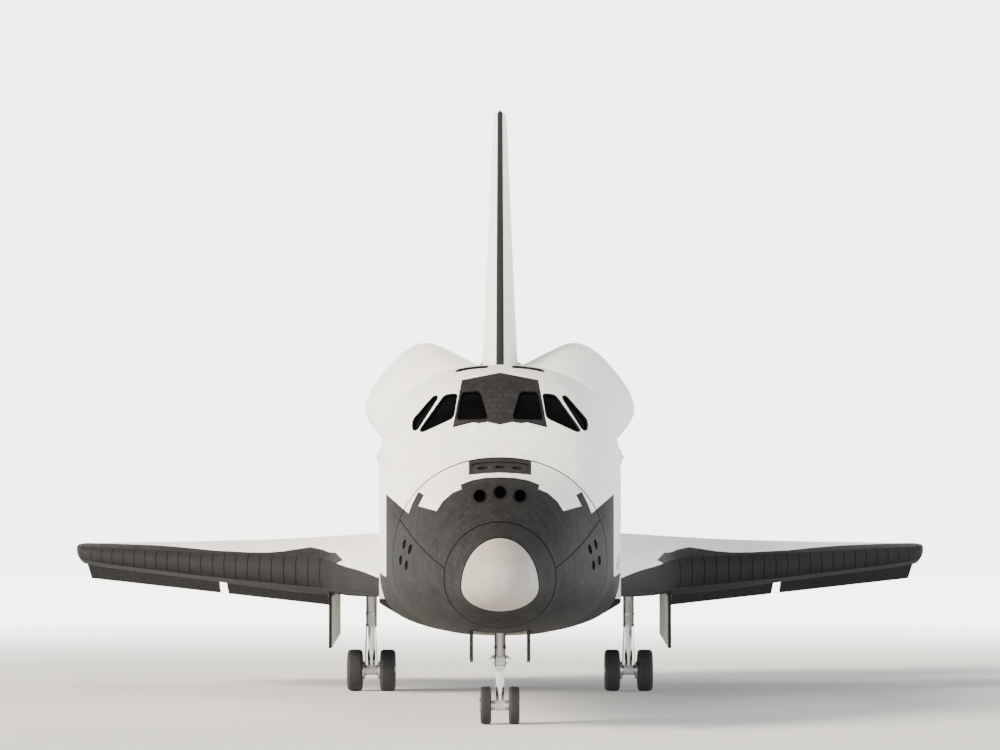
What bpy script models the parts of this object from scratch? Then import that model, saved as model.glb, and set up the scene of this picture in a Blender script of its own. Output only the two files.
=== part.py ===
"""A winged space shuttle orbiter, parked on its landing gear. Lengths are in metres.

Everything is drawn in the vehicle's own axes: X to its left side, Y aft, Z up from the flat belly.
A station is the distance aft of the nose tip. The empty "on_gear" then sets the whole vehicle on
its wheels, a few degrees nose down, as it stands on the ground.
"""

import math

import bmesh
import bpy
from mathutils import Matrix, Vector

LENGTH = 37.24
NOSE_DOWN = math.radians(3.4)
BELLY_LIFT = 2.39
CENTRE_SHIFT = 0.4557
GAP = 0.0004
RUNNING_GAP = 0.02

BODY_HALF_WIDTH = 2.70
WAIST_Z = 3.50
CROWN_Z = 6.03
ARCH_POWER = 2.5

NOSE_CAP_END = 0.80
NOSE_RING_END = 1.50
THRUSTER_MODULE_END = 4.60
CABIN_END = 8.88
BAY_END = 27.38
AFT_END_LOW = 32.70
AFT_END_HIGH = 31.90
AFT_ROOM_END = 29.90
AFT_WALL = 0.15
BULKHEAD = 0.12
BAY_FLOOR_Z = 0.80
FLOOR_RISE = 0.01
BAY_WALL = 0.31
SILL_Z = 3.93
DOOR_THICKNESS = 0.16
CABIN_WALL = 0.15
DOCKING_RING = 0.62
DOCKING_Z = 2.4
CABIN_FLOOR_Z = 1.25
FLIGHT_DECK_Z = 3.6

HINGE_STATION = 29.26
ELEVON_DROOP = math.radians(25)
FLAP_STATION = 32.97
FLAP_Z = 0.08
FLAP_RADIUS = 0.13
FLAP_CHORD = 1.75
FLAP_HALF_WIDTH = 3.0

MAIN_GEAR_STATION = 23.7
MAIN_GEAR_X = 3.454
MAIN_TYRE_RADIUS = 0.565
NOSE_GEAR_STATION = 4.95
NOSE_TYRE_RADIUS = 0.406

AROUND = 36

# Sections of the body ahead of the cargo bay. Columns: station, half width, lowest point,
# height of the widest point, highest point, power of the upper curve, power of the lower curve,
# and how far the underside curves up towards the sides.
FORWARD_SECTIONS = [
    (0.00, 0.10, 1.70, 1.78, 1.88, 2.0, 2.0, 0.0),
    (0.08, 0.33, 1.46, 1.74, 2.10, 2.0, 2.0, 0.0),
    (0.35, 0.60, 1.24, 1.66, 2.35, 2.0, 2.0, 0.0),
    (0.80, 0.775, 1.10, 1.58, 2.57, 2.0, 2.0, 0.0),
    (1.50, 1.125, 0.72, 1.72, 2.85, 2.0, 2.1, 0.0),
    (2.60, 1.62, 0.52, 1.65, 3.40, 2.1, 2.3, 0.04),
    (3.60, 1.97, 0.42, 1.70, 3.76, 2.15, 2.5, 0.10),
    (4.60, 2.25, 0.33, 1.90, 4.06, 2.2, 2.7, 0.16),
    (5.30, 2.39, 0.27, 2.20, 4.84, 2.2, 2.9, 0.22),
    (6.00, 2.50, 0.21, 2.60, 5.52, 2.25, 3.2, 0.30),
    (6.90, 2.60, 0.14, 3.00, 5.90, 2.35, 4.0, 0.38),
    (7.90, 2.66, 0.07, 3.35, 6.01, 2.45, 6.0, 0.44),
    (8.88, 2.70, 0.01, 3.50, 6.03, 2.5, 9.0, 0.50),
]

# Wing sections from the root out. Columns: x, station of the leading edge, height of the leading
# edge, underside just behind it, station and height where the underside turns flat, station and
# height of the crest.
WING_SECTIONS = [
    (2.7005, 8.90, 1.10, 0.78, 21.0, 0.02, 22.5, 1.62),
    (3.30, 12.9, 0.98, 0.58, 21.0, 0.02, 22.6, 1.59),
    (4.00, 16.9, 0.80, 0.36, 21.5, 0.0, 22.8, 1.54),
    (4.45, 18.9, 0.76, 0.30, 22.0, 0.0, 23.0, 1.50),
    (5.00, 19.75, 0.78, 0.31, 22.5, 0.0, 23.2, 1.46),
    (5.80, 20.45, 0.78, 0.34, 23.2, 0.04, 23.5, 1.40),
    (7.98, 22.48, 0.80, 0.43, 25.2, 0.18, 24.9, 1.27),
    (10.0, 24.5, 0.86, 0.55, 26.6, 0.33, 26.3, 1.17),
    (11.2, 25.7, 0.91, 0.63, 27.4, 0.43, 27.2, 1.11),
    (11.7, 26.6, 0.93, 0.69, 27.8, 0.50, 27.8, 1.07),
    (11.9, 27.7, 0.94, 0.76, 28.4, 0.58, 28.3, 1.02),
]
LEADING_EDGE_DEPTH = 0.42

# The elevon hinge line, from its inner to its outer end: x, height and nose radius.
HINGE_INNER = (2.95, 0.09, 0.27)
HINGE_OUTER = (11.8, 0.53, 0.11)
# Name, inner x and outer x of each elevon.
ELEVONS = [("inboard", 4.95, 7.87), ("outboard", 8.10, 11.8)]
FIXED_EDGE_END = 4.92

# Corners (x, z) of the cabin windows, seen from the front, on the vehicle's left side.
WINDOWS = {
    "front": [(0.25, 4.86), (0.93, 4.84), (0.84, 5.44), (0.42, 5.46)],
    "middle": [(0.99, 4.88), (1.64, 4.58), (1.73, 4.62), (1.22, 5.37), (0.91, 5.41)],
    "side": [(1.80, 4.65), (1.85, 4.59), (1.91, 4.61), (1.91, 4.82), (1.44, 5.39), (1.30, 5.34)],
}


def aft(station):
    """The Y of a station."""
    return station - LENGTH / 2


def between(table, value, column):
    """A column of a table read at a value of its first column."""
    for low, high in zip(table, table[1:]):
        if value <= high[0] or high is table[-1]:
            share = (value - low[0]) / (high[0] - low[0])
            return low[column] + share * (high[column] - low[column])
    return table[-1][column]


def material(name, colour, roughness=0.6, metallic=0.0):
    made = bpy.data.materials.new(name)
    made.use_nodes = True
    shader = made.node_tree.nodes["Principled BSDF"]
    shader.inputs["Base Color"].default_value = (*colour, 1)
    shader.inputs["Roughness"].default_value = roughness
    shader.inputs["Metallic"].default_value = metallic
    return made


def clear_scene():
    for thing in list(bpy.data.objects):
        bpy.data.objects.remove(thing)


clear_scene()
WHITE = material("white_insulation", (0.90, 0.88, 0.82))
BLACK = material("black_tiles", (0.055, 0.055, 0.06))
NOSE_GREY = material("nose_cap_carbon", (0.53, 0.50, 0.46), 0.45)
GLASS = material("dark_window_glass", (0.01, 0.01, 0.012), 0.08)
METAL = material("engine_metal", (0.32, 0.30, 0.28), 0.35, 0.9)
GEAR_METAL = material("gear_metal", (0.62, 0.63, 0.64), 0.4, 0.6)
WHEEL_METAL = material("wheel_metal", (0.45, 0.46, 0.47), 0.4, 0.8)
RUBBER = material("tyre_rubber", (0.03, 0.03, 0.03), 0.85)
CABIN_GREY = material("cabin_grey", (0.25, 0.26, 0.27))

ON_GEAR = bpy.data.objects.new("on_gear", None)
bpy.context.scene.collection.objects.link(ON_GEAR)
ON_GEAR.location = (0, CENTRE_SHIFT, BELLY_LIFT)
ON_GEAR.rotation_euler = (NOSE_DOWN, 0, 0)


def on_vehicle(name, shape, paint, place=None, smooth=30):
    """An object on the vehicle from a bmesh, whose points are local to the matrix place."""
    mesh = bpy.data.meshes.new(name)
    bmesh.ops.remove_doubles(shape, verts=shape.verts, dist=1e-5)
    bmesh.ops.recalc_face_normals(shape, faces=shape.faces)
    shape.to_mesh(mesh)
    shape.free()
    mesh.materials.append(paint)
    mesh.shade_smooth()
    mesh.set_sharp_from_angle(angle=math.radians(smooth))
    thing = bpy.data.objects.new(name, mesh)
    bpy.context.scene.collection.objects.link(thing)
    thing.parent = ON_GEAR
    if place is not None:
        thing.matrix_basis = place
    return thing


def lofted(rings):
    """A closed bmesh through rings of as many points each, with flat ends.

    Its sides are triangles that all lean the same way, so one skin fits inside another.
    """
    shape = bmesh.new()
    rows = [[shape.verts.new(point) for point in ring] for ring in rings]
    for row, following in zip(rows, rows[1:]):
        for i in range(len(row)):
            j = (i + 1) % len(row)
            shape.faces.new((row[i], row[j], following[j]))
            shape.faces.new((row[i], following[j], following[i]))
    shape.faces.new(rows[0][::-1])
    shape.faces.new(rows[-1])
    return shape


def turned(profile, segments, centre=(0, 0, 0), axis="Y"):
    """A bmesh turned about an axis from (along, radius) points; an end off the axis gets a flat cap."""
    shape = bmesh.new()
    rows = []
    for along, radius in profile:
        if radius < 1e-6:
            rows.append([shape.verts.new((0, along, 0))])
            continue
        angles = [math.tau * i / segments for i in range(segments)]
        rows.append(
            [shape.verts.new((radius * math.sin(a), along, radius * math.cos(a))) for a in angles]
        )
    for row, following in zip(rows, rows[1:]):
        for i in range(segments):
            j = (i + 1) % segments
            corners = [row[i % len(row)], row[j % len(row)]]
            corners += [following[j % len(following)], following[i % len(following)]]
            kept = [corner for k, corner in enumerate(corners) if corner not in corners[:k]]
            shape.faces.new(kept)
    for row in (rows[0], rows[-1]):
        if len(row) > 1 and profile[0] != profile[-1]:
            shape.faces.new(row)
    turn = Matrix.Identity(4)
    if axis == "X":
        turn = Matrix.Rotation(-math.pi / 2, 4, "Z")
    elif axis == "Z":
        turn = Matrix.Rotation(math.pi / 2, 4, "X")
    bmesh.ops.transform(shape, matrix=Matrix.Translation(centre) @ turn, verts=shape.verts)
    return shape


def box(low, high):
    shape = bmesh.new()
    bmesh.ops.create_cube(shape, size=1)
    size = [b - a for a, b in zip(low, high)]
    middle = [(a + b) / 2 for a, b in zip(low, high)]
    bmesh.ops.scale(shape, vec=size, verts=shape.verts)
    bmesh.ops.translate(shape, vec=middle, verts=shape.verts)
    return shape


def rod(start, end, radius, segments=12):
    """A round bar between two points."""
    start, end = Vector(start), Vector(end)
    shape = turned([(0, radius), ((end - start).length, radius)], segments)
    turn = Vector((0, 1, 0)).rotation_difference(end - start).to_matrix().to_4x4()
    bmesh.ops.transform(shape, matrix=Matrix.Translation(start) @ turn, verts=shape.verts)
    return shape


def prism(corners, start, end):
    """A straight bar along Y whose section has these (x, z) corners."""
    return lofted([[(x, y, z) for x, z in corners] for y in (start, end)])


def combined(thing, operation, shape, place=None):
    """Joins a bmesh to an object, or cuts it away, and keeps the result as the object's mesh."""
    other = on_vehicle("helper", shape, thing.data.materials[0], place)
    modifier = thing.modifiers.new("combine", "BOOLEAN")
    modifier.operation = operation
    modifier.solver = "EXACT"
    modifier.object = other
    bpy.context.view_layer.update()
    graph = bpy.context.evaluated_depsgraph_get()
    result = bpy.data.meshes.new_from_object(thing.evaluated_get(graph))
    thing.modifiers.clear()
    thing.data = result
    bpy.data.objects.remove(other)
    return thing


def sliced(shape, point, normal):
    """A closed bmesh with what lies on the normal's side of a plane cut off and capped."""
    everything = shape.verts[:] + shape.edges[:] + shape.faces[:]
    bmesh.ops.bisect_plane(
        shape, geom=everything, plane_co=point, plane_no=normal, clear_outer=True, dist=1e-6
    )
    open_edges = [edge for edge in shape.edges if edge.is_boundary]
    bmesh.ops.holes_fill(shape, edges=open_edges)
    return shape


def mirrored(shape):
    bmesh.ops.scale(shape, vec=(-1, 1, 1), verts=shape.verts)
    bmesh.ops.reverse_faces(shape, faces=shape.faces)
    return shape


def sided(shape, side):
    """The shape as drawn for the left side (1), or mirrored for the right side (-1)."""
    return shape if side > 0 else mirrored(shape)


SIDES = [("left", 1), ("right", -1)]


def power_curve(angle, half_width, waist, crown, keel, up, down):
    """A point (x, z) of a rounded section; angle 0 is the left side and a quarter turn the top."""
    c, s = math.cos(angle), math.sin(angle)
    power = up if s >= 0 else down
    height = crown - waist if s >= 0 else keel - waist
    reach = (abs(c) ** power + abs(s) ** power) ** (-1 / power)
    return half_width * reach * c, waist + height * reach * abs(s)


def forward_ring(station, inset=0.0, floor=None, crown_inset=None):
    """A section of the forward body, drawn in by inset, and cut flat at a floor height."""
    _, half, low, wide, top, up, down, rise = [
        between(FORWARD_SECTIONS, station, column) for column in range(8)
    ]
    crown_inset = inset if crown_inset is None else crown_inset
    ring = []
    for i in range(AROUND):
        angle = math.tau * i / AROUND
        x, z = power_curve(angle, half - inset, wide, top - crown_inset, low + inset, up, down)
        if z < wide:
            z += rise * (x / half) ** 2 * (wide - z) / (wide - low)
        ring.append((x, aft(station), z if floor is None else max(z, floor)))
    return ring


def forward_stations(start, end):
    inside = [row[0] for row in FORWARD_SECTIONS if start < row[0] < end]
    return [start, *inside, end]


def arch_ring(station, end_tilt=0.0, inset=0.0):
    """A full section of the body behind the cabin; end_tilt moves its crown forward."""
    ring = []
    for i in range(AROUND):
        x, z = arch_point(math.tau * i / AROUND, -inset)
        ring.append((x, aft(station) - end_tilt * z / CROWN_Z, z))
    return ring


def arch_point(angle, outset=0.0):
    """A point (x, z) of the body's section behind the cabin, moved outwards by outset."""
    half, crown = BODY_HALF_WIDTH + outset, CROWN_Z + outset
    return power_curve(angle, half, WAIST_Z, crown, -outset, ARCH_POWER, 8)


def build_nose():
    on_vehicle(
        "nose_cap",
        lofted([forward_ring(s) for s in forward_stations(0, NOSE_CAP_END - GAP)]),
        NOSE_GREY,
    )
    on_vehicle(
        "nose_ring",
        lofted([forward_ring(s) for s in (NOSE_CAP_END, 1.15, NOSE_RING_END - GAP)]),
        BLACK,
    )
    # The thruster module lifts off the lower nose along a plane that rises aft.
    seam = Vector((0, aft(NOSE_RING_END), 1.90))
    tilt = math.atan2(2.75 - 1.90, THRUSTER_MODULE_END - NOSE_RING_END)
    up = Vector((0, -math.sin(tilt), math.cos(tilt)))
    stations = forward_stations(NOSE_RING_END, THRUSTER_MODULE_END - GAP)
    upper = sliced(lofted([forward_ring(s) for s in stations]), seam, -up)
    on_vehicle("forward_thruster_module", upper, WHITE)
    lower = sliced(lofted([forward_ring(s) for s in stations]), seam - up * GAP, up)
    lower = on_vehicle("lower_nose", lower, BLACK)
    combined(lower, "DIFFERENCE", box(*NOSE_WELL))


NOSE_WELL = ((-0.62, aft(2.45), -0.5), (0.62, aft(5.50), 1.02))


def window_cutter(corners, grow, side):
    """A bar along Y with a window's outline, grown from its middle."""
    middle = Vector([sum(c[k] for c in corners) / len(corners) for k in (0, 1)])
    outline = []
    for corner in corners:
        offset = Vector(corner) - middle
        grown = middle + offset * (1 + grow / offset.length)
        outline.append((grown.x, grown.y))
    return sided(prism(outline, aft(4.9), aft(7.4)), side)


def cabin_void(shrink=0.0):
    """The space inside the cabin, ending at a flat floor."""
    stations = [5.02, *[s for s in forward_stations(5.02, 8.73) if 5.02 < s < 8.73], 8.73]
    rings = []
    for station in stations:
        slope = 0.21 if station < 6.5 else CABIN_WALL
        rings.append(forward_ring(station, CABIN_WALL + shrink, CABIN_FLOOR_Z, slope + shrink))
    return lofted(rings)


HATCH_STATION = 6.96
HATCH_Z = 2.22
HATCH_RADIUS = 0.50
HATCH_AXIS_X = 2.63
HATCH_AXIS_Z = 1.66
HATCH_YAW = math.atan2(0.085, 1)


def hatch_bar(clearance=0.0):
    """A bar through the cabin's side that narrows inwards, as the hatch does."""
    profile = [(2.2, HATCH_RADIUS - 0.07 + clearance), (2.8, HATCH_RADIUS + 0.05 + clearance)]
    return turned(profile, 28, (0, aft(HATCH_STATION), HATCH_Z), "X")


def build_cabin():
    rings = [forward_ring(s) for s in forward_stations(THRUSTER_MODULE_END, CABIN_END - GAP)]
    shell = on_vehicle("cabin_shell", lofted(rings), WHITE)
    combined(shell, "DIFFERENCE", cabin_void())
    combined(shell, "DIFFERENCE", box(*NOSE_WELL))
    for name, corners in WINDOWS.items():
        for _, side in SIDES:
            combined(shell, "DIFFERENCE", window_cutter(corners, 0, side))
    hatch = on_vehicle("side_hatch", hatch_bar(), WHITE, hatch_place())
    shape_in_place(hatch)
    combined(hatch, "INTERSECT", lofted(rings))
    combined(hatch, "DIFFERENCE", cabin_void())
    combined(shell, "DIFFERENCE", hatch_bar(0.012))
    add_hatch_hinges(shell, hatch)
    ring = turned([(-0.05, DOCKING_RING), (0.05, DOCKING_RING)], 32, (0, aft(CABIN_END), DOCKING_Z))
    combined(shell, "UNION", ring)


def hatch_place():
    """The hatch's origin and turn: on its hinge, with local Y along the hinge line."""
    where = Vector((HATCH_AXIS_X, aft(HATCH_STATION), HATCH_AXIS_Z))
    return Matrix.Translation(where) @ Matrix.Rotation(-HATCH_YAW, 4, "Z")


def shape_in_place(thing):
    """Moves the mesh into the object's own axes, when it was drawn in the vehicle's."""
    thing.data.transform(thing.matrix_basis.inverted())


def add_hatch_hinges(shell, hatch):
    """Two hinges under the hatch: a knuckle on the skin beside one on the hatch."""
    for middle in (-0.16, 0.16):
        skin = box((-0.16, middle - 0.075, -0.10), (0.0, middle - GAP, 0.0))
        combined(shell, "UNION", skin, hatch_place())
        knuckle = rod((0, middle - 0.075, 0), (0, middle - GAP, 0), 0.03)
        combined(shell, "UNION", knuckle, hatch_place())
        for low, high in (((-0.045, -0.006), (0.0, 0.24)), ((-0.13, 0.15), (-0.02, 0.24))):
            arm = box((low[0], middle, low[1]), (high[0], middle + 0.075, high[1]))
            combined(hatch, "UNION", arm, hatch_place())
        knuckle = rod((0, middle, 0), (0, middle + 0.075, 0), 0.03)
        combined(hatch, "UNION", knuckle, hatch_place())


def build_windows():
    """Panes set in the thickness of the cabin's wall."""
    stations = forward_stations(4.95, 7.6)
    for name, corners in WINDOWS.items():
        for side_name, side in SIDES:
            pane = on_vehicle(
                f"{name}_window_{side_name}", window_cutter(corners, -GAP, side), GLASS
            )
            outer = [forward_ring(s, 0.03, None, 0.045) for s in stations]
            inner = [forward_ring(s, 0.09, None, 0.125) for s in stations]
            combined(pane, "INTERSECT", lofted(outer))
            combined(pane, "DIFFERENCE", lofted(inner))


def build_flight_deck():
    """The flight deck floor with its front console and two seats."""
    slab = sliced(cabin_void(0.003), (0, 0, FLIGHT_DECK_Z), (0, 0, 1))
    slab = sliced(slab, (0, 0, FLIGHT_DECK_Z - 0.08), (0, 0, -1))
    slab = sliced(slab, (0, aft(5.45), 0), (0, -1, 0))
    slab = sliced(slab, (0, aft(8.73) - GAP, 0), (0, 1, 0))
    deck = on_vehicle("flight_deck", slab, CABIN_GREY)
    console = lofted(
        [
            [(x, aft(5.58), FLIGHT_DECK_Z - 0.02), (x, aft(6.20), FLIGHT_DECK_Z - 0.02)]
            + [(x, aft(6.15), 4.42), (x, aft(5.97), 4.70), (x, aft(5.68), 4.50)]
            for x in (-1.05, 1.05)
        ]
    )
    combined(deck, "UNION", console)
    for x in (-0.75, 0.75):
        for low, high in (
            ((x - 0.24, aft(6.75), FLIGHT_DECK_Z - 0.02), (x + 0.24, aft(7.25), 4.12)),
            ((x - 0.26, aft(7.20), 3.90), (x + 0.26, aft(7.38), 5.05)),
        ):
            combined(deck, "UNION", box(low, high))


# The belly along the cargo bay. Columns: station, half width of its flat, rise of its corners.
BELLY_SECTIONS = [
    (8.88, 0.60, 0.72),
    (10.0, 1.05, 0.60),
    (12.0, 1.60, 0.42),
    (14.0, 2.10, 0.25),
    (18.0, 2.45, 0.08),
    (21.5, 2.55, 0.03),
    (27.38, 2.55, 0.03),
]


def belly_ring(station):
    """The keel's section: a flat belly with rising corners, and a floor raised between the walls."""
    flat, rise = between(BELLY_SECTIONS, station, 1), between(BELLY_SECTIONS, station, 2)
    left = [(BODY_HALF_WIDTH, BAY_FLOOR_Z)]
    for share in (1, 0.8, 0.55, 0.3, 0):
        left.append((flat + share * (BODY_HALF_WIDTH - flat), rise * share**1.7))
    whole = left + [(-x, z) for x, z in reversed(left)]
    inner, floor = BODY_HALF_WIDTH - BAY_WALL - 0.005, BAY_FLOOR_Z + FLOOR_RISE
    whole += [(-inner, BAY_FLOOR_Z), (-inner, floor), (inner, floor), (inner, BAY_FLOOR_Z)]
    return [(x, aft(station), z) for x, z in whole]


DOOR_AXIS_X = 2.745
DOOR_AXIS_Z = 3.95
DOOR_START = CABIN_END + 0.02
DOOR_END = BAY_END - 0.02
DOOR_HINGES = [9.4, 12.3, 15.2, 18.1, 21.0, 23.9, 26.5]


def build_bay():
    stations = [row[0] for row in BELLY_SECTIONS]
    stations[0], stations[-1] = CABIN_END, BAY_END - GAP
    on_vehicle("keel", lofted([belly_ring(s) for s in stations]), BLACK)
    for name, side in SIDES:
        inner, outer = BODY_HALF_WIDTH - BAY_WALL, BODY_HALF_WIDTH
        corners = [(inner, BAY_FLOOR_Z + GAP), (outer, BAY_FLOOR_Z + GAP), (outer, WAIST_Z)]
        corners += [(outer - 0.03, SILL_Z), (inner, SILL_Z)]
        wall = prism(corners, aft(CABIN_END), aft(BAY_END - GAP))
        wall = on_vehicle(f"bay_wall_{name}", sided(wall, side), WHITE)
        for station in DOOR_HINGES:
            low = (outer - 0.12, aft(station), SILL_Z - 0.14)
            high = (DOOR_AXIS_X, aft(station + 0.25) - GAP, SILL_Z - 0.005)
            combined(wall, "UNION", sided(box(low, high), side))
            ends = [(DOOR_AXIS_X, aft(station), DOOR_AXIS_Z), (DOOR_AXIS_X, high[1], DOOR_AXIS_Z)]
            combined(wall, "UNION", sided(rod(*ends, 0.05), side))
        build_bay_door(name, side)


def door_section():
    """Outline (x, z) of one cargo bay door, from its hinge edge to the crown."""
    steps = 12
    rise = (SILL_Z + 0.025 - WAIST_Z) / (CROWN_Z - WAIST_Z)
    first = math.atan2(rise, (1 - rise**ARCH_POWER) ** (1 / ARCH_POWER))
    outer, inner = [], []
    for step in range(steps + 1):
        angle = first + (math.pi / 2 - first) * step / steps
        outer.append(arch_point(angle))
        inner.append(arch_point(angle, -DOOR_THICKNESS))
    outer[-1] = (0.006, CROWN_Z)
    inner[-1] = (0.006, CROWN_Z - DOOR_THICKNESS)
    inner[0] = (inner[0][0], outer[0][1])
    return outer + inner[::-1]


def build_bay_door(name, side):
    place = Matrix.Translation((side * DOOR_AXIS_X, 0, DOOR_AXIS_Z))
    shape = prism(door_section(), aft(DOOR_START), aft(DOOR_END))
    door = on_vehicle(f"bay_door_{name}", sided(shape, side), WHITE, place)
    shape_in_place(door)
    for station in DOOR_HINGES:
        low = (DOOR_AXIS_X - 0.15, aft(station + 0.25), DOOR_AXIS_Z + 0.008)
        high = (DOOR_AXIS_X, aft(station + 0.50), DOOR_AXIS_Z + 0.16)
        combined(door, "UNION", sided(box(low, high), side))
        ends = [(DOOR_AXIS_X, low[1], DOOR_AXIS_Z), (DOOR_AXIS_X, high[1], DOOR_AXIS_Z)]
        combined(door, "UNION", sided(rod(*ends, 0.05), side))


# The three main engines. Columns: name, gimbal x, station and height, cant up, cant outwards.
MAIN_ENGINES = [
    ("upper", 0.0, 31.20, 4.25, 13.5, 0.0),
    ("left", 1.36, 31.60, 1.55, 9.0, 3.5),
    ("right", -1.36, 31.60, 1.55, 9.0, -3.5),
]
DOME_RADIUS = 1.22
DOME_CUT = 1.06
DOME_FRONT = -0.30
# The pocket of each engine in the body: its front leaves room for the dome to tilt, and behind
# its lip it opens in a cone.
POCKET_FRONT = -0.58
POCKET_LIP = 0.85
POCKET_FLARE = 1.35
TRUNNION_RADIUS = 0.12
TRUNNION_REACH = 1.28
# Outer radius of a main engine's nozzle. Columns: distance behind its gimbal, radius.
NOZZLE = [(1.06, 0.604), (1.7, 0.75), (2.5, 0.91), (3.4, 1.03), (4.25, 1.09)]
NOZZLE_WALL = 0.06


def engine_place(row):
    _, x, station, z, up, out = row
    turn = Matrix.Rotation(-math.radians(out), 4, "Z") @ Matrix.Rotation(math.radians(up), 4, "X")
    return Matrix.Translation((x, aft(station), z)) @ turn


def bell_inside(outer, wall, throat):
    """The inner wall of a nozzle, from its lip in to a closed throat."""
    inner = [(along, radius - wall) for along, radius in reversed(outer[1:])]
    return [*inner, (outer[0][0] + 0.25, throat), (outer[0][0] + 0.2, 0.0)]


def dome_arc(radius, start, end, steps):
    """Points of a ball about the gimbal, from one distance along the engine to another."""
    first, last = math.acos(start / radius), math.acos(end / radius)
    angles = [first + (last - first) * i / steps for i in range(steps + 1)]
    return [(radius * math.cos(a), radius * math.sin(a)) for a in angles]


def build_main_engine(body, row):
    """An engine with its round heat shield, on two trunnions in a round pocket of the body."""
    place = engine_place(row)
    pocket = DOME_RADIUS + RUNNING_GAP
    hollow = dome_arc(pocket, POCKET_FRONT, POCKET_LIP, 8)
    hollow = [(POCKET_FRONT, 0.0), *hollow, (1.9, POCKET_FLARE), (1.9, 0.0)]
    combined(body, "DIFFERENCE", turned(hollow, 28), place)
    bores = turned([(-TRUNNION_REACH, 0.14), (TRUNNION_REACH, 0.14)], 24, axis="X")
    combined(body, "DIFFERENCE", bores, place)
    dome = dome_arc(DOME_RADIUS, DOME_FRONT, DOME_CUT, 6)
    profile = [(DOME_FRONT, 0.0), *dome, *NOZZLE[1:], *bell_inside(NOZZLE, NOZZLE_WALL, 0.22)]
    engine = on_vehicle(f"main_engine_{row[0]}", turned(profile, 28), METAL, place)
    reach = TRUNNION_REACH - GAP
    pins = turned([(-reach, TRUNNION_RADIUS), (reach, TRUNNION_RADIUS)], 24, axis="X")
    combined(engine, "UNION", pins, place)


def build_aft_fuselage():
    """The aft body with its engines and flap; ahead of the engines it is a room behind the bay."""
    rings = [arch_ring(BAY_END), arch_ring(31.0), arch_ring(AFT_END_LOW, AFT_END_LOW - AFT_END_HIGH)]
    body = on_vehicle("aft_fuselage", lofted(rings), WHITE)
    room = [arch_ring(station, 0, AFT_WALL) for station in (BAY_END - 0.1, AFT_ROOM_END)]
    combined(body, "DIFFERENCE", lofted(room))
    plate = [arch_ring(s, 0, AFT_WALL + 1.5 * GAP) for s in (BAY_END, BAY_END + BULKHEAD)]
    on_vehicle("bay_rear_bulkhead", lofted(plate), WHITE)
    for row in MAIN_ENGINES:
        build_main_engine(body, row)
    flap = build_body_flap()
    for x in (-1.4, 1.4):
        add_hinge_lug(body, flap, flap_place(), x, FLAP_RADIUS)


def flap_place():
    return Matrix.Translation((0, aft(FLAP_STATION), FLAP_Z))


def surface_ring(x, radius, chord, edge=0.03, steps=8):
    """Section of a control surface in its hinge's axes: a round nose tapering to a thin edge."""
    ring = []
    for step in range(steps + 1):
        angle = math.pi * (0.5 + step / steps)
        ring.append((x, radius * math.cos(angle), radius * math.sin(angle)))
    return [*ring, (x, chord, -edge), (x, chord, edge)]


def build_body_flap():
    rings = [surface_ring(x, FLAP_RADIUS, FLAP_CHORD) for x in (-FLAP_HALF_WIDTH, FLAP_HALF_WIDTH)]
    return on_vehicle("body_flap", lofted(rings), BLACK, flap_place())


def add_hinge_lug(fixed, moving, place, along, radius):
    """A lug of the fixed piece, in a slot of the moving one that it carries by its two faces."""
    reach, half = 2 * radius, 0.06 + GAP
    slot = box((along - half, -reach, -reach), (along + half, 0.11, reach))
    combined(moving, "DIFFERENCE", slot, moving.matrix_basis.copy())
    lug = box((along - 0.06, -radius - 0.25, -0.06), (along + 0.06, 0.07, 0.06))
    combined(fixed, "UNION", lug, place)


POD_NOZZLE = [(0.0, 0.26), (0.35, 0.38), (0.75, 0.49), (1.1, 0.55)]


def arch_facet_point(degrees):
    """A point (x, z) just off the flat facet that the aft body has at this angle."""
    step = 360 / AROUND
    first = int(degrees // step)
    share = degrees / step - first
    (xa, za), (xb, zb) = [arch_point(math.radians(step * i)) for i in (first, first + 1)]
    clear = 1 + GAP / (CROWN_Z - WAIST_Z)
    x, z = xa + share * (xb - xa), za + share * (zb - za)
    return x * clear, WAIST_Z + (z - WAIST_Z) * clear


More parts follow.
